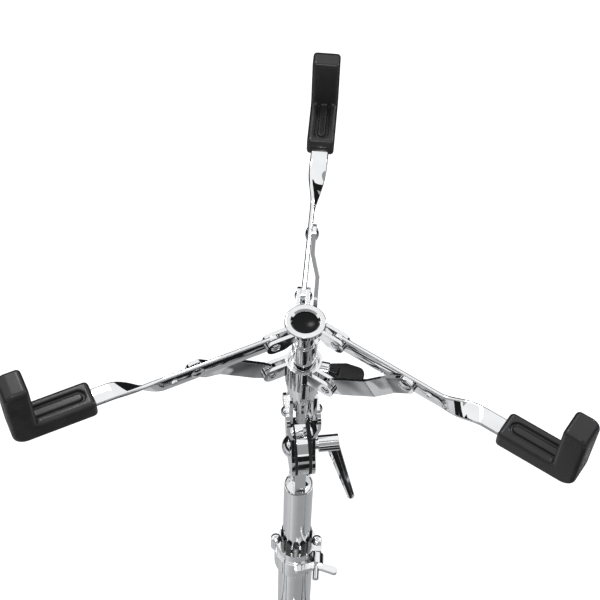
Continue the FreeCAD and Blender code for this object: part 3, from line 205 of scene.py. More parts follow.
# %% Four chrome finishes
tube_chrome = chrome("tube_chrome", (0.86, 0.87, 0.88, 1), smooth=0.04, hazed=0.07,
                     wave_scale=25.0, wave=0.02, edge=0.3 * MM)
strap_chrome = chrome("strap_chrome", (0.88, 0.89, 0.90, 1), smooth=0.008, hazed=0.035,
                      wave_scale=40.0, wave=0.14, edge=0.45 * MM)
cast_chrome = chrome("cast_chrome", (0.87, 0.88, 0.89, 1), smooth=0.015, hazed=0.05,
                     wave_scale=60.0, wave=0.06, edge=0.4 * MM)
screw_chrome = chrome("screw_chrome", (0.84, 0.85, 0.86, 1), smooth=0.06, hazed=0.12,
                      wave_scale=90.0, wave=0.04, edge=0.25 * MM)
chromes = (tube_chrome, strap_chrome, cast_chrome, screw_chrome)
print("chrome finishes:", [finish.name for finish in chromes])

# %% [markdown]
# ## Rubber, nylon and friction fibre
# The grips are smooth black rubber with a soft highlight, and the feet are duller. The nylon of the
# bushing and the thumb paddle is darker still, the plug in the hub is nearly black, and the friction
# gaskets are dull. All of them are one recipe with different values, and each has a fine grain.

# %% Recipe of a black finish
GRAIN_STRENGTH = 0.25


def black(level):
    """A nearly neutral black, a touch warm."""
    return (level, level * 0.98, level * 0.98, 1)


def moulded(name, colour, worn, rough, dull, grain_scale, grain_depth, shine):
    """A moulded black: colour and rough for the clean skin, worn and dull for the patches."""
    made, tree, shader = new_material(name)
    skin = place(tree, "ShaderNodeGroup", node_tree=moulded_grain)
    skin.inputs["Grain scale"].default_value = grain_scale
    tint = mixed_colour(tree, skin.outputs["Patches"], black(colour), black(worn))
    tree.links.new(tint, shader.inputs["Base Color"])
    roughness = place(tree, "ShaderNodeMapRange",
                      {"Value": skin.outputs["Patches"], "To Min": rough, "To Max": dull})
    tree.links.new(roughness.outputs[0], shader.inputs["Roughness"])
    bump = place(tree, "ShaderNodeBump", {"Height": skin.outputs["Grain"], "Strength": GRAIN_STRENGTH,
                                          "Distance": grain_depth})
    tree.links.new(bump.outputs[0], shader.inputs["Normal"])
    shader.inputs["Specular IOR Level"].default_value = shine
    return made


# %% Five black finishes
grip_rubber = moulded("grip_rubber", 0.019, 0.027, rough=0.20, dull=0.30,
                      grain_scale=2200.0, grain_depth=0.00008, shine=0.4)
foot_rubber = moulded("foot_rubber", 0.020, 0.036, rough=0.48, dull=0.62,
                      grain_scale=1600.0, grain_depth=0.00020, shine=0.3)
black_nylon = moulded("black_nylon", 0.008, 0.014, rough=0.18, dull=0.28,
                      grain_scale=3000.0, grain_depth=0.00006, shine=0.2)
plug_black = moulded("plug_black", 0.004, 0.006, rough=0.16, dull=0.22,
                     grain_scale=3000.0, grain_depth=0.00004, shine=0.12)
friction_fibre = moulded("friction_fibre", 0.016, 0.028, rough=0.60, dull=0.75,
                         grain_scale=3500.0, grain_depth=0.00020, shine=0.3)
blacks = (grip_rubber, foot_rubber, black_nylon, plug_black, friction_fibre)
print("black finishes:", [finish.name for finish in blacks])

# %% [markdown]
# ## A finish for every solid
# Most solids of the stand already have the right shape. They keep their mesh and only get a finish:
# drawn tubes, pressed straps, castings, and the small screws and rivets. The few that new pieces replace
# further down get theirs here too, so that none is bare.

# %% Finish the solids


def numbered(*names):
    return [name + "_" + n for name in names for n in NUMBERS]


FINISHES = {
    tube_chrome: ["base_tube", "post_tube", "guide_sleeve"],
    strap_chrome: ["right_cheek", "left_cheek"] + numbered("leg", "brace", "link", "arm"),
    cast_chrome: ["tube_clamp", "clamp_jaw", "clamp_wing_nut", "brace_bracket", "leg_collar",
                  "collar_wing_screw", "tilter_head", "clamp_insert", "clamp_lever", "yoke",
                  "adjuster_nut", "lower_hub", "upper_hub"],
    screw_chrome: ["clamp_pins", "swing_bolt", "bracket_pins", "collar_pins", "cheek_screws",
                   "pivot_bolt", "lever_screw", "lower_hub_pins", "swivel_screw", "basket_rod",
                   "upper_hub_pins"] + numbered("leg_rivet", "joint_rivet"),
    grip_rubber: numbered("grip"),
    foot_rubber: ["base_plug"] + numbered("foot"),
    black_nylon: ["nylon_bushing", "swivel_paddle"],
    plug_black: ["hub_plug"],
    friction_fibre: ["right_gasket", "left_gasket"],
}
for finish, names in FINISHES.items():
    for name in names:
        nodes[name].data.materials.clear()
        nodes[name].data.materials.append(finish)
finished = [name for names in FINISHES.values() for name in names]
print("finished", len(finished), "nodes; left bare:", sorted(set(nodes) - set(finished)))

# %% [markdown]
# ## Growing a piece with Geometry Nodes
# A tree of geometry nodes is a recipe with named sizes. It is run once on an empty object, and the
# result is kept as a plain mesh, because a finished piece should not depend on a live modifier.

# %% Helpers that write a recipe and grow a piece


def recipe(name, sizes):
    """A geometry tree with named float sizes and a material, and the sockets that give them."""
    tree = bpy.data.node_groups.new(name, "GeometryNodeTree")
    for label in sizes:
        tree.interface.new_socket(name=label, in_out="INPUT", socket_type="NodeSocketFloat")
    tree.interface.new_socket(name="Finish", in_out="INPUT", socket_type="NodeSocketMaterial")
    tree.interface.new_socket(name="Geometry", in_out="OUTPUT", socket_type="NodeSocketGeometry")
    return tree, tree.nodes.new("NodeGroupInput").outputs


def finish_recipe(tree, geometry, given):
    """Ends a recipe: real geometry with its finish."""
    real = place(tree, "GeometryNodeRealizeInstances", {"Geometry": geometry}).outputs[0]
    dressed = place(tree, "GeometryNodeSetMaterial", {"Geometry": real, "Material": given["Finish"]})
    end = tree.nodes.new("NodeGroupOutput")
    tree.links.new(dressed.outputs[0], end.inputs[0])
    print("recipe", tree.name, "has", len(tree.nodes), "nodes")


def grow(name, tree, finish, **sizes):
    """Runs a recipe on an empty object and keeps what it makes as a plain mesh."""
    piece = bpy.data.objects.new(name, bpy.data.meshes.new(name))
    scene.collection.objects.link(piece)
    modifier = piece.modifiers.new("recipe", "NODES")
    modifier.node_group = tree
    for item in tree.interface.items_tree:
        if item.item_type == "SOCKET" and item.in_out == "INPUT":
            label = item.name.lower().replace(" ", "_")
            modifier[item.identifier] = finish if label == "finish" else float(sizes[label])
    evaluated = piece.evaluated_get(bpy.context.evaluated_depsgraph_get())
    mesh = bpy.data.meshes.new_from_object(evaluated)
    piece.modifiers.remove(modifier)
    piece.data = mesh
    mesh.name = name
    return piece


# %% Helpers that clean and keep a piece


def merge_corners(mesh, distance, drop_flat=False):
    """Joins corners that lie on each other, and on request drops faces with no area."""
    work = bmesh.new()
    work.from_mesh(mesh)
    bmesh.ops.remove_doubles(work, verts=work.verts, dist=distance)
    if drop_flat:
        bmesh.ops.dissolve_degenerate(work, edges=work.edges, dist=distance)
    work.to_mesh(mesh)
    work.free()


def smooth_shaded(mesh, sharp=35.0):
    """Smooth shading, with edges left sharp where faces meet at more degrees than this."""
    mesh.shade_smooth()
    mesh.set_sharp_from_angle(angle=math.radians(sharp))


def keep(piece, body, slot, *replaced):
    """Puts a finished piece on its body, in the place of the CAD nodes that it stands for."""
    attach(piece, body)
    if replaced:
        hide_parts(*replaced)
    print(piece.name, "on", body, "with", len(piece.data.polygons), "faces")


# %% [markdown]
# ## The twisted arms
# Each arm is one steel strip. Near the hub it stands on edge, then it is twisted through a right angle
# so that its end lies flat inside the rubber grip. That is a rule, so a recipe suits it: a rounded
# section is swept along a line, and each point is then turned about the line by an angle that eases in
# and out over the twist.

# %% Recipe of a twisted arm: the straight strip
arm_recipe, given = recipe("twisted_arm", [
    "Start", "End", "Height", "Thickness", "Edge", "Twist start", "Twist end", "Twist", "Side", "Level",
    "Grip side", "Grip level", "Pivot hole", "Joint at", "Joint hole", "Spare at", "Spare hole"])


def point(tree, x=0.0, y=0.0, z=0.0):
    return place(tree, "ShaderNodeCombineXYZ", {0: x, 1: y, 2: z}).outputs[0]


line = place(arm_recipe, "GeometryNodeCurvePrimitiveLine",
             {"Start": point(arm_recipe, given["Start"]), "End": point(arm_recipe, given["End"])})
line = place(arm_recipe, "GeometryNodeResampleCurve", {"Curve": line.outputs[0], "Count": 140})
line = place(arm_recipe, "GeometryNodeSetCurveNormal", {"Curve": line.outputs[0]}, mode="Z_UP")
section = place(arm_recipe, "GeometryNodeCurvePrimitiveQuadrilateral",
                {"Width": given["Thickness"], "Height": given["Height"]})
section = place(arm_recipe, "GeometryNodeFilletCurve",
                {"Curve": section.outputs[0], "Count": 4, "Radius": given["Edge"]}, mode="POLY")
strip = place(arm_recipe, "GeometryNodeCurveToMesh",
              {"Curve": line.outputs[0], "Profile Curve": section.outputs[0], "Fill Caps": True})
print("the straight strip takes", len(arm_recipe.nodes), "nodes")

# %% Twist the strip


def eased(tree, value, first, last, low, high):
    """A value that eases from low to high while another goes from first to last."""
    return place(tree, "ShaderNodeMapRange", dict(enumerate((value, first, last, low, high))),
                 interpolation_type="SMOOTHSTEP").outputs[0]


at = place(arm_recipe, "ShaderNodeSeparateXYZ",
           {0: place(arm_recipe, "GeometryNodeInputPosition").outputs[0]})
along = at.outputs[0]
span = (along, given["Twist start"], given["Twist end"])
angle = eased(arm_recipe, *span, 0.0, given["Twist"])
spun = place(arm_recipe, "ShaderNodeVectorRotate",
             {"Vector": point(arm_recipe, 0.0, at.outputs[1], at.outputs[2]), "Angle": angle},
             rotation_type="X_AXIS")
shift = point(arm_recipe, along, eased(arm_recipe, *span, given["Side"], given["Grip side"]),
              eased(arm_recipe, *span, given["Level"], given["Grip level"]))
twisted = place(arm_recipe, "ShaderNodeVectorMath", {0: spun.outputs[0], 1: shift}, operation="ADD")
strip = place(arm_recipe, "GeometryNodeSetPosition",
              {"Geometry": strip.outputs[0], "Position": twisted.outputs[0]})
print("with its twist it takes", len(arm_recipe.nodes))

# %% Round the inner end and drill the holes


def cross_bar(tree, radius, depth, x, y, z):
    """A round bar along Y."""
    bar = place(tree, "GeometryNodeMeshCylinder", {"Vertices": 48, "Radius": radius, "Depth": depth})
    return place(tree, "GeometryNodeTransform",
                 {"Geometry": bar.outputs[0], "Translation": point(tree, x, y, z),
                  "Rotation": (math.pi / 2, 0, 0)}).outputs[0]


eye = cross_bar(arm_recipe, math_of(arm_recipe, "MULTIPLY", given["Height"], 0.5), given["Thickness"],
                given["Start"], given["Side"], given["Level"])
whole = place(arm_recipe, "GeometryNodeMeshBoolean", operation="UNION", solver="MANIFOLD")
arm_recipe.links.new(strip.outputs[0], whole.inputs["Mesh 2"])
arm_recipe.links.new(eye, whole.inputs["Mesh 2"])
drilled = place(arm_recipe, "GeometryNodeMeshBoolean", {"Mesh 1": whole.outputs[0]},
                operation="DIFFERENCE", solver="MANIFOLD")
drill_length = math_of(arm_recipe, "MULTIPLY", given["Thickness"], 3.0)
for reach, hole in ((given["Start"], given["Pivot hole"]), (given["Joint at"], given["Joint hole"]),
                    (given["Spare at"], given["Spare hole"])):
    drill = cross_bar(arm_recipe, hole, drill_length, reach, given["Side"], given["Level"])
    arm_recipe.links.new(drill, drilled.inputs["Mesh 2"])
finish_recipe(arm_recipe, drilled.outputs[0], given)

# %% Measure an arm
UPRIGHT_UNTIL = 90 * MM     # the strip stands on edge up to here
FLAT_FROM = 140 * MM        # and lies flat from here on


def spread(points, axis):
    """The lowest and highest value of some points on one axis."""
    values = [p[axis] for p in points]
    return min(values), max(values)


def size_of(ends):
    return ends[1] - ends[0]


def middle_of(ends):
    return (ends[1] + ends[0]) / 2


X, Y, Z = 0, 1, 2
pivot = arm_turn["1"].inverted() @ Vector(joints["arm_hinge_1"]["pos_m"])
corners = drawn_along_x("arm_1", arm_turn["1"])
upright = [c for c in corners if c.x < UPRIGHT_UNTIL]
flat = [c for c in corners if c.x > FLAT_FROM]
rivet = drawn_along_x("joint_rivet_1", arm_turn["1"])
arm_sizes = {
    "start": pivot.x, "end": spread(corners, X)[1],
    "height": size_of(spread(upright, Z)), "thickness": size_of(spread(upright, Y)),
    "edge": 1.25 * MM, "twist_start": 96 * MM, "twist_end": 130 * MM, "twist": -math.pi / 2,
    "side": pivot.y, "level": pivot.z,
    "grip_side": middle_of(spread(flat, Y)), "grip_level": middle_of(spread(flat, Z)),
    "pivot_hole": 2.05 * MM, "joint_at": middle_of(spread(rivet, X)), "joint_hole": 2.0 * MM,
    "spare_at": 90 * MM, "spare_hole": 1.9 * MM,
}
print({name: round(value * 1000, 2) for name, value in arm_sizes.items()})

# %% Grow the three arms
for n in NUMBERS:
    arm = grow("twisted_arm_" + n, arm_recipe, strap_chrome, **arm_sizes)
    merge_corners(arm.data, 0.02 * MM, drop_flat=True)
    arm.data.transform(arm_turn[n])
    smooth_shaded(arm.data)
    keep(arm, "arm_" + n, "chrome", "arm_" + n)

# %% [markdown]
# ## Rubber with soft edges
# A moulded grip has no sharp edge anywhere. One way to get that is to bevel each edge; a quicker one is
# a voxel remesh, which rebuilds the skin as an even net, and a few rounds of smoothing, which wear the
# edges round. The grip is remeshed lying along +X, so that the net follows its faces, and then turned to
# each arm. The feet and the thumb paddle are made in the same way.

# %% Soften a moulded solid


def softened(node_name, turn, voxel, rounds):
    """A remeshed and smoothed copy of a CAD node, drawn along +X."""
    mesh = nodes[node_name].data.copy()
    mesh.transform(turn.inverted())
    merge_corners(mesh, 0.005 * MM)
    piece = bpy.data.objects.new("softening", mesh)
    scene.collection.objects.link(piece)
    net = piece.modifiers.new("net", "REMESH")
    net.mode = "VOXEL"
    net.voxel_size = voxel
    worn = piece.modifiers.new("worn", "SMOOTH")
    worn.factor = 0.5
    worn.iterations = rounds
    evaluated = piece.evaluated_get(bpy.context.evaluated_depsgraph_get())
    made = bpy.data.meshes.new_from_object(evaluated)
    bpy.data.objects.remove(piece)
    made.shade_smooth()
    return made


def moulded_piece(name, mesh, turn, finish):
    """A turned copy of a softened mesh as a new object."""
    copy = mesh.copy()
    copy.name = name
    copy.transform(turn)
    copy.materials.clear()
    copy.materials.append(finish)
    piece = bpy.data.objects.new(name, copy)
    scene.collection.objects.link(piece)
    return piece


# %% The three grips
grip_mesh = softened("grip_1", arm_turn["1"], voxel=0.5 * MM, rounds=6)
for n in NUMBERS:
    grip = moulded_piece("rubber_grip_" + n, grip_mesh, arm_turn[n], grip_rubber)
    keep(grip, "arm_" + n, "rubber", "grip_" + n)

# %% The feet and the thumb paddle
foot_mesh = softened("foot_1", leg_turn["1"], voxel=0.8 * MM, rounds=4)
for n in NUMBERS:
    foot = moulded_piece("rubber_foot_" + n, foot_mesh, leg_turn[n], foot_rubber)
    keep(foot, "leg_" + n, "rubber", "foot_" + n)
unturned = Matrix.Identity(4)
paddle_mesh = softened("swivel_paddle", unturned, voxel=0.4 * MM, rounds=5)
paddle = moulded_piece("thumb_paddle", paddle_mesh, unturned, black_nylon)
keep(paddle, "swivel_screw", "nylon", "swivel_paddle")

# %% [markdown]
# ## A screw thread
# The rod that draws the basket together is threaded, and a few turns of it show between the legs of the
# yoke. A thread is a ridge that climbs round a core, so the recipe sweeps a small diamond along a spiral.

# %% Recipe of a threaded rod
RIDGE_SHARE = 0.46          # half of a ridge, as a share of the pitch
thread_recipe, given = recipe("threaded_rod", ["Bottom", "Top", "Thread top", "Core", "Crest", "Pitch"])


def between(tree, low, high):
    return math_of(tree, "SUBTRACT", high, low)


def raised(tree, geometry, height):
    return place(tree, "GeometryNodeTransform",
                 {"Geometry": geometry, "Translation": point(tree, 0.0, 0.0, height)}).outputs[0]


core = place(thread_recipe, "GeometryNodeMeshCone",
             {"Vertices": 48, "Radius Bottom": given["Core"], "Radius Top": given["Core"],
              "Depth": between(thread_recipe, given["Bottom"], given["Top"])})
rise = between(thread_recipe, given["Bottom"], given["Thread top"])
spiral = place(thread_recipe, "GeometryNodeCurveSpiral",
               {"Resolution": 28, "Rotations": math_of(thread_recipe, "DIVIDE", rise, given["Pitch"]),
                "Start Radius": given["Core"], "End Radius": given["Core"], "Height": rise})
spiral = place(thread_recipe, "GeometryNodeSetCurveNormal", {"Curve": spiral.outputs[0]}, mode="Z_UP")
depth = between(thread_recipe, given["Core"], given["Crest"])
half_ridge = math_of(thread_recipe, "MULTIPLY", given["Pitch"], RIDGE_SHARE)
ridge = place(thread_recipe, "GeometryNodeCurvePrimitiveQuadrilateral",
              {"Width": math_of(thread_recipe, "MULTIPLY", depth, 2.0), "Bottom Height": half_ridge,
               "Top Height": half_ridge}, mode="KITE")
thread = place(thread_recipe, "GeometryNodeCurveToMesh",
               {"Curve": spiral.outputs[0], "Profile Curve": ridge.outputs[0], "Fill Caps": True})
both = place(thread_recipe, "GeometryNodeJoinGeometry")
for part in (core.outputs[0], thread.outputs[0]):
    thread_recipe.links.new(raised(thread_recipe, part, given["Bottom"]), both.inputs[0])
finish_recipe(thread_recipe, both.outputs[0], given)

# %% Grow the basket rod
PITCH = 1.25 * MM
THREAD_DEPTH = 0.6 * MM
THREAD_STOP = 20 * MM       # the thread ends this far below the top of the yoke
rod_low, rod_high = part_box("basket_rod")
rod_radius = (rod_high.x - rod_low.x) / 2
rod = grow("threaded_rod", thread_recipe, screw_chrome, bottom=rod_low.z, top=rod_high.z,
           thread_top=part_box("yoke")[1].z - THREAD_STOP, core=rod_radius - THREAD_DEPTH,
           crest=rod_radius, pitch=PITCH)
smooth_shaded(rod.data, sharp=40.0)
keep(rod, "upper_hub", "chrome", "basket_rod")

# %% [markdown]
# ## Ribs on the feet
# A rubber foot has a few raised ribs on its sides, so that it can be gripped when it is pulled on. They
# repeat along the foot, so the recipe puts copies of one thin round rib on a row of points, on both
# sides.

# %% Recipe of the foot ribs
rib_recipe, given = recipe("foot_ribs", ["First", "Last", "Count", "Side", "Low", "High", "Radius"])
row = place(rib_recipe, "GeometryNodeMeshLine",
            {"Count": given["Count"], "Start Location": point(rib_recipe, given["First"]),
             "Offset": point(rib_recipe, given["Last"])}, mode="END_POINTS")
edge = place(rib_recipe, "GeometryNodeCurvePrimitiveLine",
             {"Start": point(rib_recipe, 0.0, 0.0, given["Low"]),
              "End": point(rib_recipe, 0.0, 0.0, given["High"])})
edge = place(rib_recipe, "GeometryNodeResampleCurve", {"Curve": edge.outputs[0], "Count": 9})
ring = place(rib_recipe, "GeometryNodeCurvePrimitiveCircle",
             {"Resolution": 12, "Radius": given["Radius"]})
rib = place(rib_recipe, "GeometryNodeCurveToMesh",
            {"Curve": edge.outputs[0], "Profile Curve": ring.outputs[0], "Fill Caps": True})
sides = place(rib_recipe, "GeometryNodeJoinGeometry")
for sign in (-1.0, 1.0):
    offset = point(rib_recipe, 0.0, math_of(rib_recipe, "MULTIPLY", given["Side"], sign), 0.0)
    shifted = place(rib_recipe, "GeometryNodeSetPosition", {"Geometry": row.outputs[0], "Offset": offset})
    copies = place(rib_recipe, "GeometryNodeInstanceOnPoints",
                   {"Points": shifted.outputs[0], "Instance": rib.outputs[0]})
    rib_recipe.links.new(copies.outputs[0], sides.inputs[0])
finish_recipe(rib_recipe, sides.outputs[0], given)

# %% Measure a leg
leg_back = leg_turn["1"].inverted()
leg_pivot = leg_back @ Vector(joints["collar_pivot"]["pos_m"])
brace_joint = leg_back @ Vector(joints["leg_fold_1"]["pos_m"])
slope = math.atan2(leg_pivot.z - brace_joint.z, brace_joint.x - leg_pivot.x)
along_leg = Matrix.Translation(leg_pivot) @ Matrix.Rotation(slope, 4, "Y")
leg_length = max((along_leg.inverted() @ c).x for c in drawn_along_x("leg_1", leg_turn["1"]))
foot_side = spread(drawn_along_x("foot_1", leg_turn["1"]), Y)[1]
print("a leg slopes by", round(math.degrees(slope), 1), "degrees and is", round(leg_length, 3), "m long")

# %% Grow the ribs of the three feet
for n in NUMBERS:
    ribs = grow("foot_ribs_" + n, rib_recipe, foot_rubber, first=leg_length - 30 * MM,
                last=leg_length - 6 * MM, count=5, side=foot_side - 0.25 * MM, low=-5 * MM, high=7 * MM,
                radius=1.1 * MM)
    ribs.data.transform(leg_turn[n] @ along_leg)
    smooth_shaded(ribs.data, sharp=50.0)
    keep(ribs, "leg_" + n, "rubber")

# %% [markdown]
# ## The plug in the hub
# Looking down on the stand, the bore of the hub ends in a dished black plug. Its hollow face gathers the
# light into one small bright spot, so it is turned on a lathe: a profile of radius and height, spun
# about the axis.

# %% A lathe


def turned_on_lathe(name, profile, steps):
    """A closed mesh from (radius, height) pairs that start and end on the axis."""
    work = bmesh.new()
    rings = []
    for radius, height in profile:
        ring = []
        for i in range(steps if radius > 0 else 1):
            angle = 2 * math.pi * i / steps
            ring.append(work.verts.new((radius * math.cos(angle), radius * math.sin(angle), height)))
        rings.append(ring)
    for low, high in zip(rings, rings[1:]):
        for i in range(steps):
            following = (i + 1) % steps
            around = [low[i % len(low)], low[following % len(low)],
                      high[following % len(high)], high[i % len(high)]]
            work.faces.new(list(dict.fromkeys(around)))
    bmesh.ops.recalc_face_normals(work, faces=work.faces)
    mesh = bpy.data.meshes.new(name)
    work.to_mesh(mesh)
    work.free()
    smooth_shaded(mesh)
    piece = bpy.data.objects.new(name, mesh)
    scene.collection.objects.link(piece)
    return piece


# %% Turn the plug
DISH = 1.2 * MM             # depth of the hollow
RIM_DROP = 0.3 * MM         # the edge of the rim is cut away by this much in height
RIM_SHARE = 0.97            # and down to this share of the radius
plug_low, plug_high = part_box("hub_plug")
plug_radius = (plug_high.x - plug_low.x) / 2
rim = [(0.0, plug_low.z), (plug_radius, plug_low.z), (plug_radius, plug_high.z - RIM_DROP),
       (plug_radius * RIM_SHARE, plug_high.z)]
dish = [(plug_radius * share, plug_high.z - DISH * (1 - share ** 2))
        for share in (0.9, 0.75, 0.6, 0.45, 0.3, 0.15, 0.0)]
plug = turned_on_lathe("dished_plug", rim + dish, 64)
plug.data.materials.append(plug_black)
keep(plug, "upper_hub", "nylon", "hub_plug")

# %% [markdown]
# ## A white studio
# The picture is high key: the floor and all that is behind it are white. More light would bleach the
# stand too, so only the rays that the camera follows, straight or by way of the chrome, find the floor
# lifted to white and a white world. All other rays find a pale floor and a softer world, and the floor
# keeps a soft shadow.

# %% Helpers for the studio


def stage_piece(name, corners, faces, paint):
    """A piece of the studio, which isn't part of the stand."""
    mesh = bpy.data.meshes.new(name)
    mesh.from_pydata(corners, [], faces)
    mesh.materials.append(paint)
    piece = bpy.data.objects.new(name, mesh)
    scene.collection.objects.link(piece)
    return piece


def bare_material(name):
    made = bpy.data.materials.new(name)
    made.use_nodes = True
    made.node_tree.nodes.clear()
    return made, made.node_tree


def seen_directly(tree):
    """1 for what the camera sees, itself or by way of metal or glass, and 0 for soft light."""
    ray = place(tree, "ShaderNodeLightPath").outputs
    seen = math_of(tree, "MAXIMUM", ray["Is Camera Ray"], ray["Is Glossy Ray"])
    return math_of(tree, "MAXIMUM", seen, ray["Is Transmission Ray"])


# %% Floor
HALF_FLOOR = 8.0
FLOOR_LIFT = 0.6
floor_paint, tree = bare_material("floor_paint")
pale = place(tree, "ShaderNodeBsdfDiffuse", {"Color": (0.72, 0.72, 0.73, 1)})
lift = place(tree, "ShaderNodeEmission", {"Color": (1, 1, 1, 1), "Strength": FLOOR_LIFT})
lifted = place(tree, "ShaderNodeAddShader", {0: pale.outputs[0], 1: lift.outputs[0]})
shown = place(tree, "ShaderNodeMixShader",
              {0: seen_directly(tree), 1: pale.outputs[0], 2: lifted.outputs[0]})
place(tree, "ShaderNodeOutputMaterial", {"Surface": shown.outputs[0]})
stage_piece("floor", [(x * HALF_FLOOR, y * HALF_FLOOR, 0.0)
                      for x, y in ((-1, -1), (1, -1), (1, 1), (-1, 1))], [(0, 1, 2, 3)], floor_paint)
print("floor of", 2 * HALF_FLOOR, "m")

# %% World
SOFT_LEVEL = 0.55
world = bpy.data.worlds.new("studio")
scene.world = world
world.use_nodes = True
tree = world.node_tree
tree.nodes.clear()
soft = place(tree, "ShaderNodeBackground", {"Color": (0.97, 0.98, 1.0, 1), "Strength": SOFT_LEVEL})
white = place(tree, "ShaderNodeBackground", {"Color": (1, 1, 1, 1), "Strength": 1.0})
both = place(tree, "ShaderNodeMixShader",
             {0: seen_directly(tree), 1: soft.outputs[0], 2: white.outputs[0]})
place(tree, "ShaderNodeOutputWorld", {"Surface": both.outputs[0]})
print("world", world.name, "lights with", SOFT_LEVEL)

# %% [markdown]
# ## Cards for the chrome to reflect
# A mirror in an all white room is white, and its shape is lost. A photographer therefore puts cards
# round it that only glossy surfaces see. Here a grey card lies on the floor, lighter to the left and
# blotted near the stand. Dark cards lie on it toward the camera and on the far side, a dark band stands
# at the horizon with a higher dark wall behind the stand, and a grey screen stands behind the camera.
# They give the tubes their grey, the straps their mottled look and the edges their dark lines.

# %% Helpers for the cards
VIEW_AZIMUTH = math.radians(81.1)
CARD_LIFT = 2 * MM          # the floor card lies this far above the floor


def glow(name, level):
    """Paint of one even brightness, which lights nothing."""
    paint, tree = bare_material(name)
    light = place(tree, "ShaderNodeEmission", {"Color": (1, 1, 1, 1), "Strength": level})
    place(tree, "ShaderNodeOutputMaterial", {"Surface": light.outputs[0]})
    paint.cycles.emission_sampling = "NONE"
    return paint


def arc(radius, height, first, last, steps):
    """Points on an arc about the post; 0 degrees is toward the camera, and angles grow to its left."""
    points = []
    for i in range(steps + 1):
        angle = VIEW_AZIMUTH + math.pi - math.radians(first + (last - first) * i / steps)
        points.append((radius * math.cos(angle), radius * math.sin(angle), height))
    return points


def card(name, near, far, paint):
    """A card between two rows of points, which only glossy surfaces see."""
    count = len(near)
    faces = [(i, i + 1, count + i + 1, count + i) for i in range(count - 1)]
    piece = stage_piece(name, near + far, faces, paint)
    piece.visible_camera = False
    piece.visible_diffuse = False
    piece.visible_shadow = False
    piece.visible_transmission = False


# %% Greys of the floor card
# Each pair is a share of a full turn, from the camera round by the right, and the grey there.
CARD_LEVELS = [(0.0, 0.36), (0.08, 0.34), (0.16, 0.36), (0.36, 0.46), (0.53, 0.50), (0.70, 0.50),
               (0.80, 0.62), (0.86, 0.70), (0.93, 0.46), (1.0, 0.38)]
card_paint, tree = bare_material("floor_card")
where = place(tree, "ShaderNodeTexCoord").outputs["Object"]
facing = place(tree, "ShaderNodeMapping", {"Vector": where, "Rotation": (0, 0, -VIEW_AZIMUTH)})
around = place(tree, "ShaderNodeTexGradient", {"Vector": facing.outputs[0]}, gradient_type="RADIAL")
levels = place(tree, "ShaderNodeValToRGB", {"Fac": around.outputs["Fac"]})
while len(levels.color_ramp.elements) < len(CARD_LEVELS):
    levels.color_ramp.elements.new(0.5)
for stop, (position, level) in zip(levels.color_ramp.elements, CARD_LEVELS):
    stop.position = position
    stop.color = (level, level, level * 1.02, 1)
print("floor card with", len(CARD_LEVELS), "greys")

# %% Blots on the floor card
CARD_RADIUS = 2.85
BLOTS_START = (0.32, 0.37)  # the blots fade in and out between these distances from the post
BLOTS_END = (0.70, 0.90)


def ranged(tree, value, reach, low, high):
    """Goes from low to high while a value goes over its reach."""
    return place(tree, "ShaderNodeMapRange",
                 {"Value": value, "From Min": reach[0], "From Max": reach[1],
                  "To Min": low, "To Max": high}, clamp=True).outputs[0]


far_out = place(tree, "ShaderNodeVectorMath", {0: where}, operation="LENGTH").outputs["Value"]
blotted = math_of(tree, "MULTIPLY", ranged(tree, far_out, BLOTS_START, 0.0, 1.0),
                  ranged(tree, far_out, BLOTS_END, 1.0, 0.0))
moved = place(tree, "ShaderNodeMapping", {"Vector": facing.outputs[0], "Location": (0.31, 0.17, 0.0)})
blots = place(tree, "ShaderNodeTexNoise",
              {"Vector": moved.outputs[0], "Scale": 17.0, "Detail": 2.0, "Distortion": 1.5})
blots = ranged(tree, blots.outputs["Fac"], (0.49, 0.55), 0.03, 1.35)
strength = place(tree, "ShaderNodeMix", {0: blotted, 2: 1.0, 3: blots}, data_type="FLOAT")
light = place(tree, "ShaderNodeEmission", {"Color": levels.outputs[0], "Strength": strength.outputs[0]})
place(tree, "ShaderNodeOutputMaterial", {"Surface": light.outputs[0]})
card_paint.cycles.emission_sampling = "NONE"
card("floor_card", arc(0.001, CARD_LIFT, -180, 180, 96), arc(CARD_RADIUS, CARD_LIFT, -180, 180, 96),
     card_paint)
print("floor card", CARD_RADIUS, "m in radius")

# %% The dark cards and the grey screen
dark = glow("dark_card", 0.012)
grey = glow("screen_card", 0.34)


def lying(name, near, far, first, last, steps):
    """A dark card on the floor card, between two radii and two angles."""
    card(name, arc(near, 2 * CARD_LIFT, first, last, steps), arc(far, 2 * CARD_LIFT, first, last, steps),
         dark)


def standing(name, radius, low, high, first, last, steps, paint):
    """An upright card at one radius, between two heights and two angles."""
    card(name, arc(radius, low, first, last, steps), arc(radius, high, first, last, steps), paint)


lying("dark_patch_low", 0.315, 0.40, -27, 4, 12)
lying("dark_patch_middle", 0.40, 0.62, -13, 13, 12)
lying("dark_patch_right", 0.46, 1.20, -52, -13, 12)
lying("far_floor", 0.62, 2.9, 110, 250, 48)
standing("dark_horizon", 3.0, 0.0, 1.3, -180, 180, 96, dark)
standing("rear_wall", 2.9, 0.0, 1.9, 105, 255, 48, dark)
standing("grey_screen", 2.4, 1.5, 5.2, -80, 80, 32, grey)
print("cards in place")

# %% [markdown]
# ## Softboxes
# Two large softboxes light the stand from the left and the right of the camera. They would show as white
# squares in the polished hub, so glossy surfaces don't see them. Three small ones behind and above do
# show: they put soft highlights on the rubber.

# %% Lamps
AIM = Vector((0.0, 0.0, 0.5))


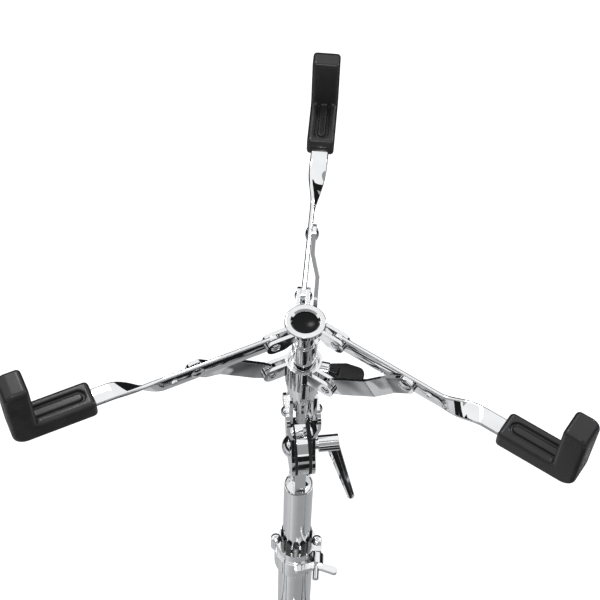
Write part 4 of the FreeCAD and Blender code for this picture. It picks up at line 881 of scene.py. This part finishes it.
def softbox(name, place_at, size, watts, mirrored=True):
    """A square lamp that looks at the post below the basket; mirrored says if glossy surfaces see it."""
    lamp = bpy.data.lights.new(name, "AREA")
    lamp.shape = "SQUARE"
    lamp.size = size
    lamp.energy = watts
    holder = bpy.data.objects.new(name, lamp)
    holder.location = place_at
    holder.rotation_mode = "QUATERNION"
    holder.rotation_quaternion = (AIM - Vector(place_at)).to_track_quat("-Z", "Y")
    holder.visible_glossy = mirrored
    scene.collection.objects.link(holder)
    print("softbox", name, "of", watts, "W")


softbox("key", (-1.3, -0.9, 2.0), 1.0, 12.0, mirrored=False)
softbox("fill", (1.6, -0.4, 1.5), 0.8, 6.0, mirrored=False)
softbox("rim", (-0.2, 1.2, 2.18), 0.3, 5.0)
softbox("top", (-0.14, -0.89, 2.60), 0.3, 4.0)
softbox("edge", (1.56, 0.93, 1.41), 0.3, 4.0)

# %% [markdown]
# ## The camera
# The view is from above, with the camera tilted down steeply and rolled by two degrees. Its distance
# and focal length come from how much smaller the far grip looks than the two near ones.

# %% Camera
TARGET = Vector((0.0, 0.0, 0.620))
ELEVATION = math.radians(54.42)
DISTANCE = 0.8226
ROLL = math.radians(-2.375)
IMAGE = 600.0
FOCAL_PIXELS = 1334.0
TARGET_PIXEL = (305.87, 309.61)

lens = bpy.data.cameras.new("camera")
lens.sensor_width = 36.0
lens.lens = FOCAL_PIXELS * lens.sensor_width / IMAGE
lens.shift_x = (IMAGE / 2 - TARGET_PIXEL[0]) / IMAGE
lens.shift_y = (TARGET_PIXEL[1] - IMAGE / 2) / IMAGE
lens.clip_start = 0.01
back = Vector((-math.cos(VIEW_AZIMUTH) * math.cos(ELEVATION),
               -math.sin(VIEW_AZIMUTH) * math.cos(ELEVATION), math.sin(ELEVATION)))
right = Vector((math.sin(VIEW_AZIMUTH), -math.cos(VIEW_AZIMUTH), 0.0))
up = back.cross(right)
rolled_right = right * math.cos(ROLL) - up * math.sin(ROLL)
rolled_up = right * math.sin(ROLL) + up * math.cos(ROLL)
camera = bpy.data.objects.new("camera", lens)
camera.matrix_world = Matrix.Translation(TARGET + back * DISTANCE) @ Matrix(
    (rolled_right, rolled_up, back)).transposed().to_4x4()
scene.collection.objects.link(camera)
scene.camera = camera
scene.view_settings.view_transform = "Standard"
print("camera at", [round(v, 3) for v in camera.location], "lens", round(lens.lens, 2))
